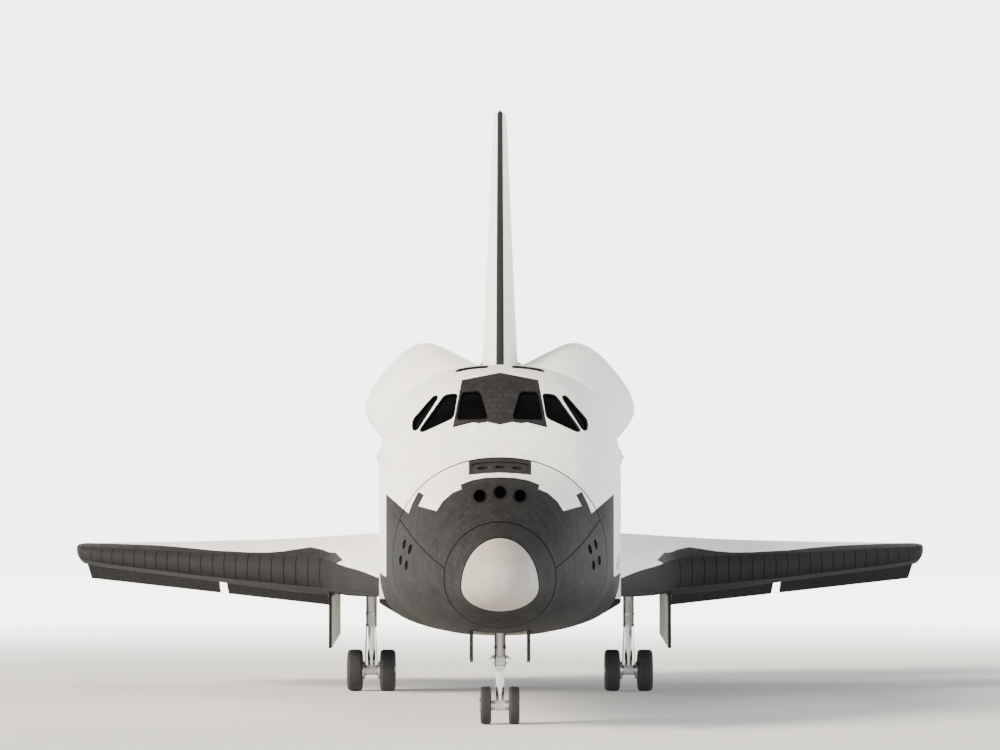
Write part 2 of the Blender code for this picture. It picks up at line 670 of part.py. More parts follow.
def build_pods():
    """The engine pods on the shoulders of the aft body, with their nozzles."""
    # Outline (x, z) of a pod at its fullest, from its inner seam over the top to its outer seam.
    full = [(0.55, 6.04), (0.95, 6.24), (1.48, 6.51), (2.02, 6.73), (2.45, 6.70), (2.92, 6.42)]
    full += [(3.42, 5.88), (3.80, 5.33), (3.95, 4.85), (3.84, 4.46), (3.40, 3.92), (2.72, 3.20)]
    # Station and share of the full outline that the pod has there.
    growth = [(27.5, 0.03), (27.9, 0.28), (28.6, 0.55), (29.7, 0.82), (31.2, 0.98), (32.4, 1.0)]
    growth += [(33.5, 0.97)]
    seat = [arch_facet_point(degrees) for degrees in (78, 74, 70, 65, 60, 50, 40, 30, 20, 10, 0)]
    seat.append((BODY_HALF_WIDTH + GAP, 3.20))
    for name, side in SIDES:
        rings = []
        for station, share in growth:
            outer = [
                (sx + (fx - sx) * share, sz + (fz - sz) * share)
                for (sx, sz), (fx, fz) in zip(seat, full)
            ]
            outer[0] = (seat[0][0] + 0.002, seat[0][1] + 0.03)
            outer[-1] = (seat[-1][0] + 0.03, seat[-1][1] - 0.002)
            ring = outer + seat[::-1]
            rings.append([(x, aft(station), z) for x, z in ring])
        pod = on_vehicle(f"engine_pod_{name}", sided(lofted(rings), side), WHITE)
        plan = [(-0.2, 31.95), (1.47, 32.15), (1.47, 34.0), (-0.2, 34.0)]
        room = lofted([[(x, aft(s), z) for x, s in plan] for z in (5.0, 7.0)])
        combined(pod, "DIFFERENCE", sided(room, side))
        bell = [(0.0, 0.0), *POD_NOZZLE, *bell_inside(POD_NOZZLE, 0.035, 0.12)]
        place = Matrix.Translation((side * 2.3, aft(33.5) + GAP, 5.35))
        on_vehicle(f"pod_engine_{name}", turned(bell, 24), METAL, place)


def hinge_at(x):
    """Height and nose radius of the elevon hinge line at x."""
    share = (x - HINGE_INNER[0]) / (HINGE_OUTER[0] - HINGE_INNER[0])
    return [a + share * (b - a) for a, b in zip(HINGE_INNER[1:], HINGE_OUTER[1:])]


def trailing_edge(x):
    return 32.75 - 0.177 * x


def wing_top(row, station):
    """Height of the wing's upper skin on a section."""
    x, nose_s, nose_z, _, _, _, crest_s, crest_z = row
    if station <= crest_s:
        share = (station - nose_s) / (crest_s - nose_s)
        return nose_z + math.sqrt(1 - (1 - share) ** 2) * (crest_z - nose_z)
    hinge_z, radius = hinge_at(x)
    share = (station - crest_s) / (HINGE_STATION - crest_s)
    return crest_z + (1 - math.cos(math.pi * share)) / 2 * (hinge_z + radius - crest_z)


def wing_bottom(row, station):
    """Height of the wing's lower skin on a section."""
    x, nose_s, nose_z, under, flat_s, flat_z, _, _ = row
    depth = min(0.9, 0.25 * (flat_s - nose_s))
    if station <= nose_s + depth:
        share = (station - nose_s) / depth
        return nose_z + math.sqrt(1 - (1 - share) ** 2) * (under - nose_z)
    if station <= flat_s:
        share = (station - nose_s - depth) / (flat_s - nose_s - depth)
        return under + share * (flat_z - under)
    hinge_z, radius = hinge_at(x)
    share = (station - flat_s) / (HINGE_STATION - flat_s)
    return flat_z + share * (hinge_z - radius - flat_z)


def wing_ring(row):
    """A section of the wing behind its leading edge, hollowed round the elevon's nose."""
    x, nose_s, _, _, flat_s, _, crest_s, _ = row
    hinge_z, radius = hinge_at(x)
    cove = radius + RUNNING_GAP
    cut = nose_s + LEADING_EDGE_DEPTH + GAP
    lip = HINGE_STATION - 0.7 * cove
    upper = [cut + share * (crest_s - cut) for share in (0, 0.12, 0.35, 0.65, 1)]
    upper += [crest_s + share * (lip - crest_s) for share in (0.4, 0.75, 1)]
    lower = [lip, flat_s, cut + 0.4 * (flat_s - cut), cut]
    arc = []
    for step in range(5):
        angle = math.radians(139 + 82 * step / 4)
        arc.append((HINGE_STATION + cove * math.cos(angle), hinge_z + cove * math.sin(angle)))
    loop = [(s, wing_top(row, s)) for s in upper] + arc + [(s, wing_bottom(row, s)) for s in lower]
    return [(x, aft(s), z) for s, z in loop]


def leading_edge_ring(row):
    x, nose_s, nose_z = row[:3]
    steps = [nose_s + depth for depth in (0.03, 0.12, 0.25, LEADING_EDGE_DEPTH)]
    loop = [(nose_s, nose_z)] + [(s, wing_top(row, s)) for s in steps]
    loop += [(s, wing_bottom(row, s)) for s in reversed(steps)]
    return [(x, aft(s), z) for s, z in loop]


MAIN_WELL = ((2.95, aft(20.7), -0.6), (4.45, aft(24.25), 1.05))


def fixed_edge_ring(x):
    """A section of the wing's fixed trailing edge, between the body and the inboard elevon."""
    row = [between(WING_SECTIONS, x, column) for column in range(8)]
    hinge_z, radius = hinge_at(x)
    front, end = HINGE_STATION - 0.5, trailing_edge(x)
    loop = [(front, wing_top(row, front) - 0.002), (HINGE_STATION, hinge_z + radius)]
    loop += [(end, hinge_z + 0.03), (end, hinge_z - 0.03), (HINGE_STATION, hinge_z - radius)]
    loop += [(front, wing_bottom(row, front) + 0.002)]
    return [(x, aft(s), z) for s, z in loop]


def build_wings():
    for name, side in SIDES:
        panel = lofted([wing_ring(row) for row in WING_SECTIONS])
        wing = on_vehicle(f"wing_{name}", sided(panel, side), WHITE)
        inner = WING_SECTIONS[0][0]
        fixed_edge = lofted([fixed_edge_ring(x) for x in (inner, FIXED_EDGE_END)])
        combined(wing, "UNION", sided(fixed_edge, side))
        combined(wing, "DIFFERENCE", sided(box(*MAIN_WELL), side))
        edge = lofted([leading_edge_ring(row) for row in WING_SECTIONS])
        on_vehicle(f"leading_edge_{name}", sided(edge, side), BLACK)
        for part, inner, outer in ELEVONS:
            build_elevon(f"elevon_{part}_{name}", wing, inner, outer, side)


def elevon_place(inner, side, droop=0.0):
    """The hinge's axes at an elevon's inner end: local X runs outwards along the hinge line."""
    dihedral = math.atan2(HINGE_OUTER[1] - HINGE_INNER[1], HINGE_OUTER[0] - HINGE_INNER[0])
    where = Vector((side * inner, aft(HINGE_STATION), hinge_at(inner)[0]))
    turn = Matrix.Rotation(-side * dihedral, 4, "Y") @ Matrix.Rotation(-droop, 4, "X")
    return Matrix.Translation(where) @ turn


def build_elevon(name, wing, inner, outer, side):
    rings = [
        surface_ring(x - inner, hinge_at(x)[1], trailing_edge(x) - HINGE_STATION)
        for x in (inner, outer)
    ]
    place = elevon_place(inner, side, ELEVON_DROOP)
    elevon = on_vehicle(name, sided(lofted(rings), side), WHITE, place)
    for share in (0.18, 0.82):
        along = share * (outer - inner)
        radius = hinge_at(inner + along)[1]
        reach, half = 2 * radius, 0.06 + GAP
        slot = box((along - half, -reach, -reach), (along + half, 0.10, reach))
        combined(elevon, "DIFFERENCE", sided(slot, side), place)
        lug = box((along - 0.06, -radius - 0.2, -0.05), (along + 0.06, 0.06, 0.05))
        combined(wing, "UNION", sided(lug, side), elevon_place(inner, side))


FIN_ROOT_Z = CROWN_Z + GAP
FIN_LOW_Z = 6.20
FIN_TOP_Z = 13.80
# The fin. Columns: height, station of the leading edge, station of the hinge line, station of the
# trailing edge, half thickness at the hinge.
FIN_SECTIONS = [
    (FIN_LOW_Z, 26.74, 30.75, 33.4, 0.50),
    (FIN_TOP_Z, 34.52, 36.12, LENGTH, 0.20),
]
HINGE_LEAN = math.atan2(36.12 - 30.75, FIN_TOP_Z - FIN_LOW_Z)
RUDDER_FOOT_Z = 8.02
RUDDER_HEAD_Z = 13.60
RUDDER_GAP = 0.02
LOW_TAIL_S = 32.1


def fin_at(z):
    """The fin's section at a height, in the columns of its table."""
    low, high = FIN_SECTIONS
    share = (z - low[0]) / (high[0] - low[0])
    return tuple(a + share * (b - a) for a, b in zip(low, high))


def fin_ring(z):
    """A level section of the fin, hollowed at its back round the rudder's nose."""
    _, nose_s, hinge_s, _, half = fin_at(z)
    stretch = 1 / math.cos(HINGE_LEAN)
    cove = half + RUNNING_GAP
    left = [(0.06, nose_s), (0.62 * half, nose_s + 0.42 * (hinge_s - nose_s))]
    left += [(half, hinge_s - 0.50 * cove * stretch)]
    for step in range(4):
        angle = math.radians(27 + 63 * step / 4)
        left.append((cove * math.cos(angle), hinge_s - cove * math.sin(angle) * stretch))
    right = [(-x, s) for x, s in reversed(left)]
    middle = [(0, hinge_s - cove * stretch)]
    return [(x, aft(s), z) for x, s in left + middle + right]


def fixed_tail_ring(z, tail_s):
    """A section of the fin's fixed back part, from inside the fin to a trailing edge."""
    _, _, hinge_s, _, half = fin_at(z)
    front = min(hinge_s - 1.1 * half, tail_s - 0.35)
    left = [(0.9 * half, front), (0.9 * half, min(hinge_s, tail_s - 0.25)), (0.05, tail_s)]
    return [(x, aft(s), z) for x, s in left + [(-x, s) for x, s in reversed(left)]]


def rudder_ring(z):
    """The left half of a level section of the rudder."""
    _, _, hinge_s, tail_s, half = fin_at(z)
    stretch = 1 / math.cos(HINGE_LEAN)
    loop = []
    for step in range(6):
        angle = math.pi / 2 * (1 - step / 5)
        x = max(half * math.cos(angle), GAP / 2)
        loop.append((x, hinge_s - half * math.sin(angle) * stretch))
    loop += [(0.05, tail_s), (GAP / 2, tail_s)]
    return [(x, aft(s), z) for x, s in loop]


def across_hinge(z, off=0.0):
    """A plane across the rudder's hinge line where it has this height, moved along it by off."""
    up = Vector((0, math.sin(HINGE_LEAN), math.cos(HINGE_LEAN)))
    return Vector((0, aft(fin_at(z)[2]), z)) + up * off, up


def rudder_place():
    """The hinge's axes at the rudder's foot, with local Z up along the hinge line."""
    row = fin_at(RUDDER_FOOT_Z)
    return Matrix.Translation((0, aft(row[2]), row[0])) @ Matrix.Rotation(-HINGE_LEAN, 4, "X")


# The fin's foot (half width, station) where it stands on the crown of the body.
FIN_FOOT = [(0.06, 26.56), (0.31, 28.2), (0.50, 30.0), (0.42, 31.2), (0.06, 31.86)]


def build_fin():
    fin = on_vehicle("fin", lofted([fin_ring(z) for z in (FIN_LOW_Z, FIN_TOP_Z)]), WHITE)
    foot = FIN_FOOT + [(-x, s) for x, s in reversed(FIN_FOOT)]
    base = lofted([[(x, aft(s), z) for x, s in foot] for z in (FIN_ROOT_Z, FIN_LOW_Z + 0.01)])
    combined(fin, "UNION", base)
    low_ends = [(LOW_TAIL_S, FIN_LOW_Z), (fin_at(RUDDER_FOOT_Z)[3], RUDDER_FOOT_Z)]
    low = lofted([fixed_tail_ring(z, s) for s, z in low_ends])
    combined(fin, "UNION", sliced(low, *across_hinge(RUDDER_FOOT_Z, -RUDDER_GAP)))
    tip = lofted([fixed_tail_ring(z, fin_at(z)[3]) for z in (RUDDER_HEAD_Z - 1.2, FIN_TOP_Z)])
    point, up = across_hinge(RUDDER_HEAD_Z, RUDDER_GAP)
    combined(fin, "UNION", sliced(tip, point, -up))
    # The slanted back edge of the fixed tail runs on across the rudder's lower corner.
    edge_foot, edge_head = [Vector((0, aft(s), z)) for s, z in low_ends]
    behind = Vector((0, edge_head.z - edge_foot.z, edge_foot.y - edge_head.y))
    halves = []
    for name, side in SIDES:
        half = lofted([rudder_ring(z) for z in (FIN_LOW_Z, FIN_TOP_Z)])
        half = sliced(half, edge_head, behind)
        half = sliced(half, *across_hinge(RUDDER_HEAD_Z))
        foot, up = across_hinge(RUDDER_FOOT_Z)
        half = sliced(half, foot, -up)
        half = on_vehicle(f"rudder_{name}", sided(half, side), WHITE, rudder_place())
        shape_in_place(half)
        halves.append(half)
    for along in (0.9, 3.2, 5.5):
        for half in halves:
            slot = box((-1, -2, along - 0.06 - GAP), (1, 0.10, along + 0.06 + GAP))
            combined(half, "DIFFERENCE", slot, rudder_place())
        lug = box((-0.06, -0.75, along - 0.06), (0.06, 0.06, along + 0.06))
        combined(fin, "UNION", lug, rudder_place())


WHEEL_SEGMENTS = 24


def axle_height(station, radius):
    """Height above the belly plane that sets a flat of a wheel of this radius on the ground."""
    flat = radius * math.cos(math.pi / WHEEL_SEGMENTS)
    return (flat - BELLY_LIFT - aft(station) * math.sin(NOSE_DOWN)) / math.cos(NOSE_DOWN)


def tyre_profile(radius, rim, half_width):
    """A tyre's section: (along the axle, radius), as a closed loop."""
    crown, shoulder = radius, radius - 0.10 * radius
    outer = [(0.0, crown), (0.55 * half_width, crown - 0.012), (0.9 * half_width, shoulder)]
    outer += [(half_width, (radius + rim) / 2), (0.82 * half_width, rim)]
    left = [(-along, r) for along, r in reversed(outer[1:])]
    loop = left + outer
    return loop + [loop[0]]


def wheel_pair_profile(rim, half_width, spacing, collar):
    """Two wheels on one axle tube: (along, radius) from one outer face to the other."""
    outer = spacing + 0.8 * half_width
    inner = spacing - 0.8 * half_width
    half = [(outer, 0.0), (outer, 0.35 * rim), (outer - 0.35 * half_width, 0.55 * rim)]
    half += [(outer - 0.35 * half_width, 0.9 * rim), (outer, 0.9 * rim), (outer, rim - GAP)]
    half += [(inner, rim - GAP), (inner, 0.9 * rim), (inner + 0.2 * half_width, 0.5 * rim)]
    half += [(collar + GAP, 0.5 * rim), (collar + GAP, 0.055)]
    return half + [(-along, r) for along, r in reversed(half)]


def build_wheel_set(name, x, station, radius, rim, half_width, spacing, collar):
    """A pair of wheels on an axle, as an axle node and two tyre nodes."""
    flat_down = Matrix.Rotation(math.pi / WHEEL_SEGMENTS - NOSE_DOWN, 4, "X")
    place = Matrix.Translation((x, aft(station), axle_height(station, radius))) @ flat_down
    profile = wheel_pair_profile(rim, half_width, spacing, collar)
    on_vehicle(f"{name}_axle", turned(profile, WHEEL_SEGMENTS, axis="X"), WHEEL_METAL, place)
    for tag, offset in (("left", spacing), ("right", -spacing)):
        profile = tyre_profile(radius, rim, half_width)
        tyre = turned(profile, WHEEL_SEGMENTS, (offset, 0, 0), "X")
        on_vehicle(f"{name}_tyre_{tag}", tyre, RUBBER, place)


def join_rods(name, rods, paint, place=None):
    """One object from round bars, each (start, end, radius)."""
    first, *rest = rods
    thing = on_vehicle(name, rod(*first, 16), paint, place)
    if place is not None:
        shape_in_place(thing)
    for start, end, radius in rest:
        combined(thing, "UNION", rod(start, end, radius, 14))
    return thing


def build_main_gear():
    axle_z = axle_height(MAIN_GEAR_STATION, MAIN_TYRE_RADIUS)
    for name, side in SIDES:
        x, y = side * MAIN_GEAR_X, aft(MAIN_GEAR_STATION)
        well_in, well_out = side * (MAIN_WELL[0][0] + GAP), side * (MAIN_WELL[1][0] - GAP)
        rods = [
            ((x, y + 0.1, 0.78), (x, y, -0.95), 0.15),
            ((x, y, -0.80), (x, y, axle_z + 0.02), 0.10),
            ((x - 0.13, y, axle_z), (x + 0.13, y, axle_z), 0.13),
            ((well_in, y + 0.1, 0.70), (well_out, y + 0.1, 0.70), 0.10),
            ((x, y, -0.62), (x - side * 0.02, aft(21.9), 0.62), 0.07),
            ((well_in, aft(21.9), 0.62), (well_out, aft(21.9), 0.62), 0.07),
        ]
        strut = join_rods(f"main_strut_{name}", rods, GEAR_METAL)
        bore = rod((x - 0.3, y, axle_z), (x + 0.3, y, axle_z), 0.062, 28)
        combined(strut, "DIFFERENCE", bore)
        build_wheel_set(
            f"main_{name}", x, MAIN_GEAR_STATION, MAIN_TYRE_RADIUS, 0.285, 0.205, 0.44, 0.13
        )
        plate = box((4.38, aft(20.75), -1.30), (4.45 - GAP, aft(24.20), 0.14))
        on_vehicle(f"main_gear_door_{name}", sided(plate, side), BLACK)


STEER_TOP_Z = -0.42


def build_nose_gear():
    axle_z = axle_height(NOSE_GEAR_STATION, NOSE_TYRE_RADIUS)
    y = aft(NOSE_GEAR_STATION)
    well = NOSE_WELL[1][0] - GAP
    rods = [
        ((0, y, 0.72), (0, y, STEER_TOP_Z), 0.12),
        ((-well, y, 0.62), (well, y, 0.62), 0.09),
        ((0, y, -0.15), (0, aft(3.75), 0.62), 0.055),
        ((-well, aft(3.75), 0.62), (well, aft(3.75), 0.62), 0.055),
    ]
    join_rods("nose_strut", rods, GEAR_METAL)
    place = Matrix.Translation((0, y, axle_z))
    rods = [
        ((0, y, STEER_TOP_Z - GAP), (0, y, axle_z + 0.02), 0.085),
        ((-0.11, y, axle_z), (0.11, y, axle_z), 0.11),
    ]
    fork = join_rods("nose_steering_leg", rods, GEAR_METAL, place)
    combined(fork, "DIFFERENCE", rod((-0.3, y, axle_z), (0.3, y, axle_z), 0.062, 28))
    build_wheel_set("nose", 0, NOSE_GEAR_STATION, NOSE_TYRE_RADIUS, 0.205, 0.115, 0.30, 0.11)
    for name, side in SIDES:
        rings = []
        for station in (2.5, 3.1, 3.8, 4.6, 5.4):
            low = forward_bottom(station, 0.62)
            corners = [(0.57, low + 0.08), (0.62 - GAP, low + 0.08)]
            corners += [(0.62 - GAP, low - 0.60), (0.57, low - 0.60)]
            rings.append([(x, aft(station), z) for x, z in corners])
        on_vehicle(f"nose_gear_door_{name}", sided(lofted(rings), side), BLACK)


def forward_bottom(station, x):
    """Height of the forward body's underside at a station and x."""
    half, low, wide, down, rise = [
        between(FORWARD_SECTIONS, station, column) for column in (1, 2, 3, 6, 7)
    ]
    depth = (1 - (x / half) ** down) ** (1 / down)
    return wide - (wide - low) * depth + rise * depth * (x / half) ** 2


build_nose()
build_cabin()
build_windows()
build_flight_deck()
build_bay()
build_aft_fuselage()
build_pods()
build_wings()
build_fin()
build_main_gear()
build_nose_gear()
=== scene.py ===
"""Skins, fittings, finishes and stage of a space shuttle orbiter parked on its gear.

Pieces are drawn in the vehicle's own axes: x to its left side, the station aft of the nose tip,
and the height above the belly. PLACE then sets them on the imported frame. Lengths are in metres.
"""

import math

import bmesh
import bpy
from bpy.props import FloatProperty, FloatVectorProperty, PointerProperty
from mathutils import Matrix, Vector


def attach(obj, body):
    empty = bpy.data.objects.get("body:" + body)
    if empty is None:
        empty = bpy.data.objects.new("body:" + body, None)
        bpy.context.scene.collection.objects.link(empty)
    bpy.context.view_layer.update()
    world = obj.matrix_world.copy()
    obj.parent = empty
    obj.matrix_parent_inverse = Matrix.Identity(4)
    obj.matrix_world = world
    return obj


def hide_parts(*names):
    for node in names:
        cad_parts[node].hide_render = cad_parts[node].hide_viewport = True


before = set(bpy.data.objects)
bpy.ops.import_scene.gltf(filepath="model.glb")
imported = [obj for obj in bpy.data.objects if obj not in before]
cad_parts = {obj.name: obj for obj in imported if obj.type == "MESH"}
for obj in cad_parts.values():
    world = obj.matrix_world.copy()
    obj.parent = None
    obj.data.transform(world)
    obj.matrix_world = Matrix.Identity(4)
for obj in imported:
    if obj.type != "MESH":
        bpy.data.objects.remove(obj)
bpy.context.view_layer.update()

bl_info = {
    "name": "Space Shuttle Orbiter",
    "version": (1, 0, 0),
    "blender": (4, 5, 0),
    "location": "3D View > Sidebar > Orbiter",
    "description": "Dresses a parked orbiter with its skins, fittings, gear and stage",
    "category": "Object",
}

LENGTH = 37.24
NOSE_DOWN = math.radians(3.4)
CENTRE_SHIFT, BELLY_LIFT = 0.4557, 2.39
PLACE = (
    Matrix.Translation((0, CENTRE_SHIFT, BELLY_LIFT))
    @ Matrix.Rotation(NOSE_DOWN, 4, "X")
    @ Matrix.Translation((0, -LENGTH / 2, 0))
)
# The stage's camera: where it stands in the vehicle's axes, and its focal length in thousandths
# of the picture's width. Outlines "seen from the front" are in a picture 1000 wide and 750 high.
EYE = Vector((0, -63.9, 5.8))
REACH = 3258.0
PICTURE_WIDTH, MIDDLE_X, MIDDLE_Y = 1000, 500, 375
SIDES = (("left", 1), ("right", -1))

WAIST_Z, CROWN_Z, HALF_WIDTH, ARCH_POWER = 3.50, 6.03, 2.70, 2.5
SILL_Z, BAY_FLOOR_Z, FLOOR_RISE, BAY_HALF = 3.93, 0.80, 0.01, 2.385
CAP_END, RING_END, MODULE_END, CABIN_END, BAY_END = 0.80, 1.50, 4.60, 8.88, 27.38
AFT_END, AFT_RAKE = 32.70, 0.8
HINGE_STATION, CHINE_Z = 29.26, 1.42
FRONT_WINDOWS, FRONT_PORTS = (4.9, 8.0), (RING_END, 4.0)

# Sections of the forward body. Columns: station, half width, lowest point, height of the widest
# point, highest point, power of the upper curve, power of the lower curve, rise to the sides.
FORWARD = [
    (0.00, 0.004, 1.774, 1.78, 1.786, 2.0, 2.0, 0.0),
    (0.08, 0.31, 1.47, 1.74, 2.08, 2.0, 2.0, 0.0),
    (0.35, 0.58, 1.25, 1.66, 2.34, 2.0, 2.0, 0.0),
    (0.80, 0.775, 1.10, 1.58, 2.57, 2.0, 2.0, 0.0),
    (1.50, 1.125, 0.72, 1.72, 2.85, 2.0, 2.1, 0.0),
    (2.60, 1.62, 0.52, 1.65, 3.40, 2.1, 2.3, 0.04),
    (3.60, 1.97, 0.42, 1.70, 3.76, 2.15, 2.5, 0.10),
    (4.60, 2.25, 0.33, 1.90, 4.06, 2.2, 2.7, 0.16),
    (5.30, 2.39, 0.27, 2.20, 4.84, 2.2, 2.9, 0.22),
    (6.00, 2.50, 0.21, 2.60, 5.52, 2.25, 3.2, 0.30),
    (6.90, 2.60, 0.14, 3.00, 5.90, 2.35, 4.0, 0.38),
    (7.90, 2.66, 0.07, 3.35, 6.01, 2.45, 6.0, 0.44),
    (8.88, 2.70, 0.01, 3.50, 6.03, 2.5, 9.0, 0.50),
]
# The belly along the cargo bay. Columns: station, half width of its flat, rise of its corners.
BELLY = [
    (8.88, 0.60, 0.72),
    (10.0, 1.05, 0.60),
    (12.0, 1.60, 0.42),
    (14.0, 2.10, 0.25),
    (18.0, 2.45, 0.08),
    (21.5, 2.55, 0.03),
    (27.38, 2.55, 0.03),
]
# Wing sections. Columns: x, station and height of the leading edge, underside behind it, station
# and height where the underside levels out, station and height of the crest.
WING = [
    (2.70, 8.90, 1.10, 0.78, 21.0, 0.02, 22.5, 1.62),
    (3.30, 12.9, 0.98, 0.58, 21.0, 0.02, 22.6, 1.59),
    (4.00, 16.9, 0.80, 0.36, 21.5, 0.0, 22.8, 1.54),
    (4.45, 18.9, 0.76, 0.30, 22.0, 0.0, 23.0, 1.50),
    (5.00, 19.75, 0.78, 0.31, 22.5, 0.0, 23.2, 1.46),
    (5.80, 20.45, 0.78, 0.34, 23.2, 0.04, 23.5, 1.40),
    (7.98, 22.48, 0.80, 0.43, 25.2, 0.18, 24.9, 1.27),
    (10.0, 24.5, 0.86, 0.55, 26.6, 0.33, 26.3, 1.17),
    (11.2, 25.7, 0.91, 0.63, 27.4, 0.43, 27.2, 1.11),
    (11.7, 26.6, 0.93, 0.69, 27.8, 0.50, 27.8, 1.07),
    (11.9, 27.7, 0.94, 0.76, 28.4, 0.58, 28.3, 1.02),
]
LEADING_DEPTH = 0.42
# The elevon hinge line's ends: x, height, nose radius. Then each elevon's inner and outer x.
HINGE_INNER, HINGE_OUTER = (2.95, 0.09, 0.27), (11.8, 0.53, 0.11)
ELEVONS = [("inboard", 4.95, 7.87), ("outboard", 8.10, 11.8)]
ELEVON_DROOP = math.radians(25)
FIXED_EDGE_END = 4.92
# The wing's hinged edges end on a straight line: its station at x = 0, and its fall for each metre.
TRAILING_STATION, TRAILING_SWEEP, TRAILING_HALF = 32.75, 0.177, 0.03
# The fin's low and top sections: height, stations of its nose, hinge and tail, half thickness.
FIN = [(6.20, 26.74, 30.75, 33.4, 0.50), (13.80, 34.52, 36.12, 37.24, 0.20)]
HINGE_LEAN = math.atan2(36.12 - 30.75, 13.80 - 6.20)
RUDDER_FOOT_Z, RUDDER_HEAD_Z, RUDDER_GAP = 8.02, 13.60, 0.02

# Left halves of outlines seen from the front.
HUMP_EDGE = [(408.4, 513.4), (412.2, 503.6), (418.2, 491.8), (425.0, 483.0), (434.3, 474.4)]
HUMP_EDGE += [(441.0, 470.0), (448.6, 466.3), (458.0, 462.8), (468.0, 460.3), (484.0, 458.3)]
NOSE_BLACK = [(386.1, 720.0), (386.1, 494.0), *HUMP_EDGE, (500.0, 457.8)]
WHITE_BAND = [(500.0, 472.6), (484.0, 473.4), (468.7, 474.9), (468.7, 460.3), (458.0, 462.8)]
WHITE_BAND += [(448.6, 466.3), (441.0, 470.0), (434.3, 474.4), (425.0, 483.0), (418.4, 491.8)]
WHITE_BAND += [(424.0, 494.9), (418.4, 506.0), (436.5, 511.0), (442.4, 501.6), (452.0, 493.1)]
WHITE_BAND += [(461.5, 489.0), (460.5, 484.7), (471.8, 480.2), (485.0, 477.8), (500.0, 477.2)]
WINDOW_SURROUND = [(500, 372.6), (461.7, 380), (452.6, 427.6), (472.8, 422.5), (479.3, 423.4)]
WINDOW_SURROUND += [(487.6, 421.9), (500, 424.7)]
WINDOW_SHAPES = [
    [(461.4, 392.2), (479.8, 391.2), (488.0, 418.8), (456.3, 419.8)],
    [(444.1, 395.3), (457.3, 393.7), (453.3, 417.8), (422.7, 432.0), (419.6, 429.5)],
    [(433.9, 395.3), (438.5, 397.3), (417.6, 430.0), (412.4, 430.0), (412.4, 419.8)],
]
# The black tiles behind the left wing's leading edge, seen from above: (x, station).
WING_BLACK = [(4.16, 17.98), (3.91, 17.30), (4.19, 19.16), (4.58, 20.36), (4.93, 21.0)]
WING_BLACK += [(5.22, 21.06), (5.65, 21.12), (6.06, 21.34), (6.61, 21.8), (7.67, 22.86)]
WING_BLACK += [(9.33, 24.88), (11.2, 26.9), (11.9, 28.2), (12.0, 24.0), (5.0, 16.0)]

# The main engines. Columns: name, gimbal x, station and height, cant up, cant outwards.
MAIN_ENGINES = [
    ("upper", 0.0, 31.20, 4.25, 13.5, 0.0),
    ("left", 1.36, 31.60, 1.55, 9.0, 3.5),
    ("right", -1.36, 31.60, 1.55, 9.0, -3.5),
]
NOZZLE = [(1.06, 0.604), (1.7, 0.75), (2.5, 0.91), (3.4, 1.03), (4.25, 1.09)]
POD_NOZZLE = [(0.0, 0.26), (0.35, 0.38), (0.75, 0.49), (1.1, 0.55)]
# Behind POD_STEP a pod stands free of the body, with a flat inner wall at POD_INNER.
POD_STEP, POD_INNER = 32.15, 1.47
DOME_RADIUS, DOME_FRONT = 1.22, -0.30
# An engine pod's fullest outline (x, z) from its inner seam to its outer one, the angles of the
# body where each point is seated, and the share of the outline reached along its stations.
POD = [(0.55, 6.04), (0.95, 6.24), (1.48, 6.51), (2.02, 6.73), (2.45, 6.70), (2.92, 6.42)]
POD += [(3.42, 5.88), (3.80, 5.33), (3.95, 4.85), (3.84, 4.46), (3.40, 3.92), (2.72, 3.20)]
POD_SEAT = (78, 74, 70, 65, 60, 50, 40, 30, 20, 10, 0)
POD_GROWTH = [(27.5, 0.03), (27.9, 0.28), (28.6, 0.55), (29.7, 0.82), (31.2, 0.98), (32.4, 1.0)]
POD_GROWTH += [(33.5, 0.97)]
DOOR_AXIS_X, DOOR_AXIS_Z, DOOR_THICKNESS = 2.745, 3.95, 0.16
DOOR_HINGES = [9.4, 12.3, 15.2, 18.1, 21.0, 23.9, 26.5]
HATCH, DOCKING_Z = (6.96, 2.22, 0.50), 2.4
# The landing gear. Columns: x of its axle's middle, station, tyre radius. The tyres of the frame
# have flat sides, so the skins keep to the half angle of one side.
MAIN_GEAR, NOSE_GEAR = (3.454, 23.7, 0.565), (0.0, 4.95, 0.406)
TYRE_SIDE = math.pi / 24


# Settings.


class HullSettings(bpy.types.PropertyGroup):
    """Colours and sizes of the heat protection."""

    white: FloatVectorProperty(
        name="Blanket white", description="Colour of the white blankets and tiles",
        subtype="COLOR", size=3, min=0, max=1, default=(0.84, 0.83, 0.80),
    )
    black: FloatVectorProperty(
        name="Tile black", description="Colour of the black tiles",
        subtype="COLOR", size=3, min=0, max=1, default=(0.019, 0.019, 0.0202),
    )
    carbon: FloatVectorProperty(
        name="Nose cap", description="Colour of the carbon nose cap",
        subtype="COLOR", size=3, min=0, max=1, default=(0.30, 0.283, 0.262),
    )
    tile: FloatProperty(
        name="Tile", description="Side of a black tile", unit="LENGTH", default=0.152, min=0.05
    )
    blanket: FloatProperty(
        name="Blanket", description="Side of a white blanket", unit="LENGTH", default=0.76, min=0.1
    )
    joint: FloatProperty(
        name="Joint", description="Width of the joint lines between hull sections",
        unit="LENGTH", default=0.045, min=0.002,
    )


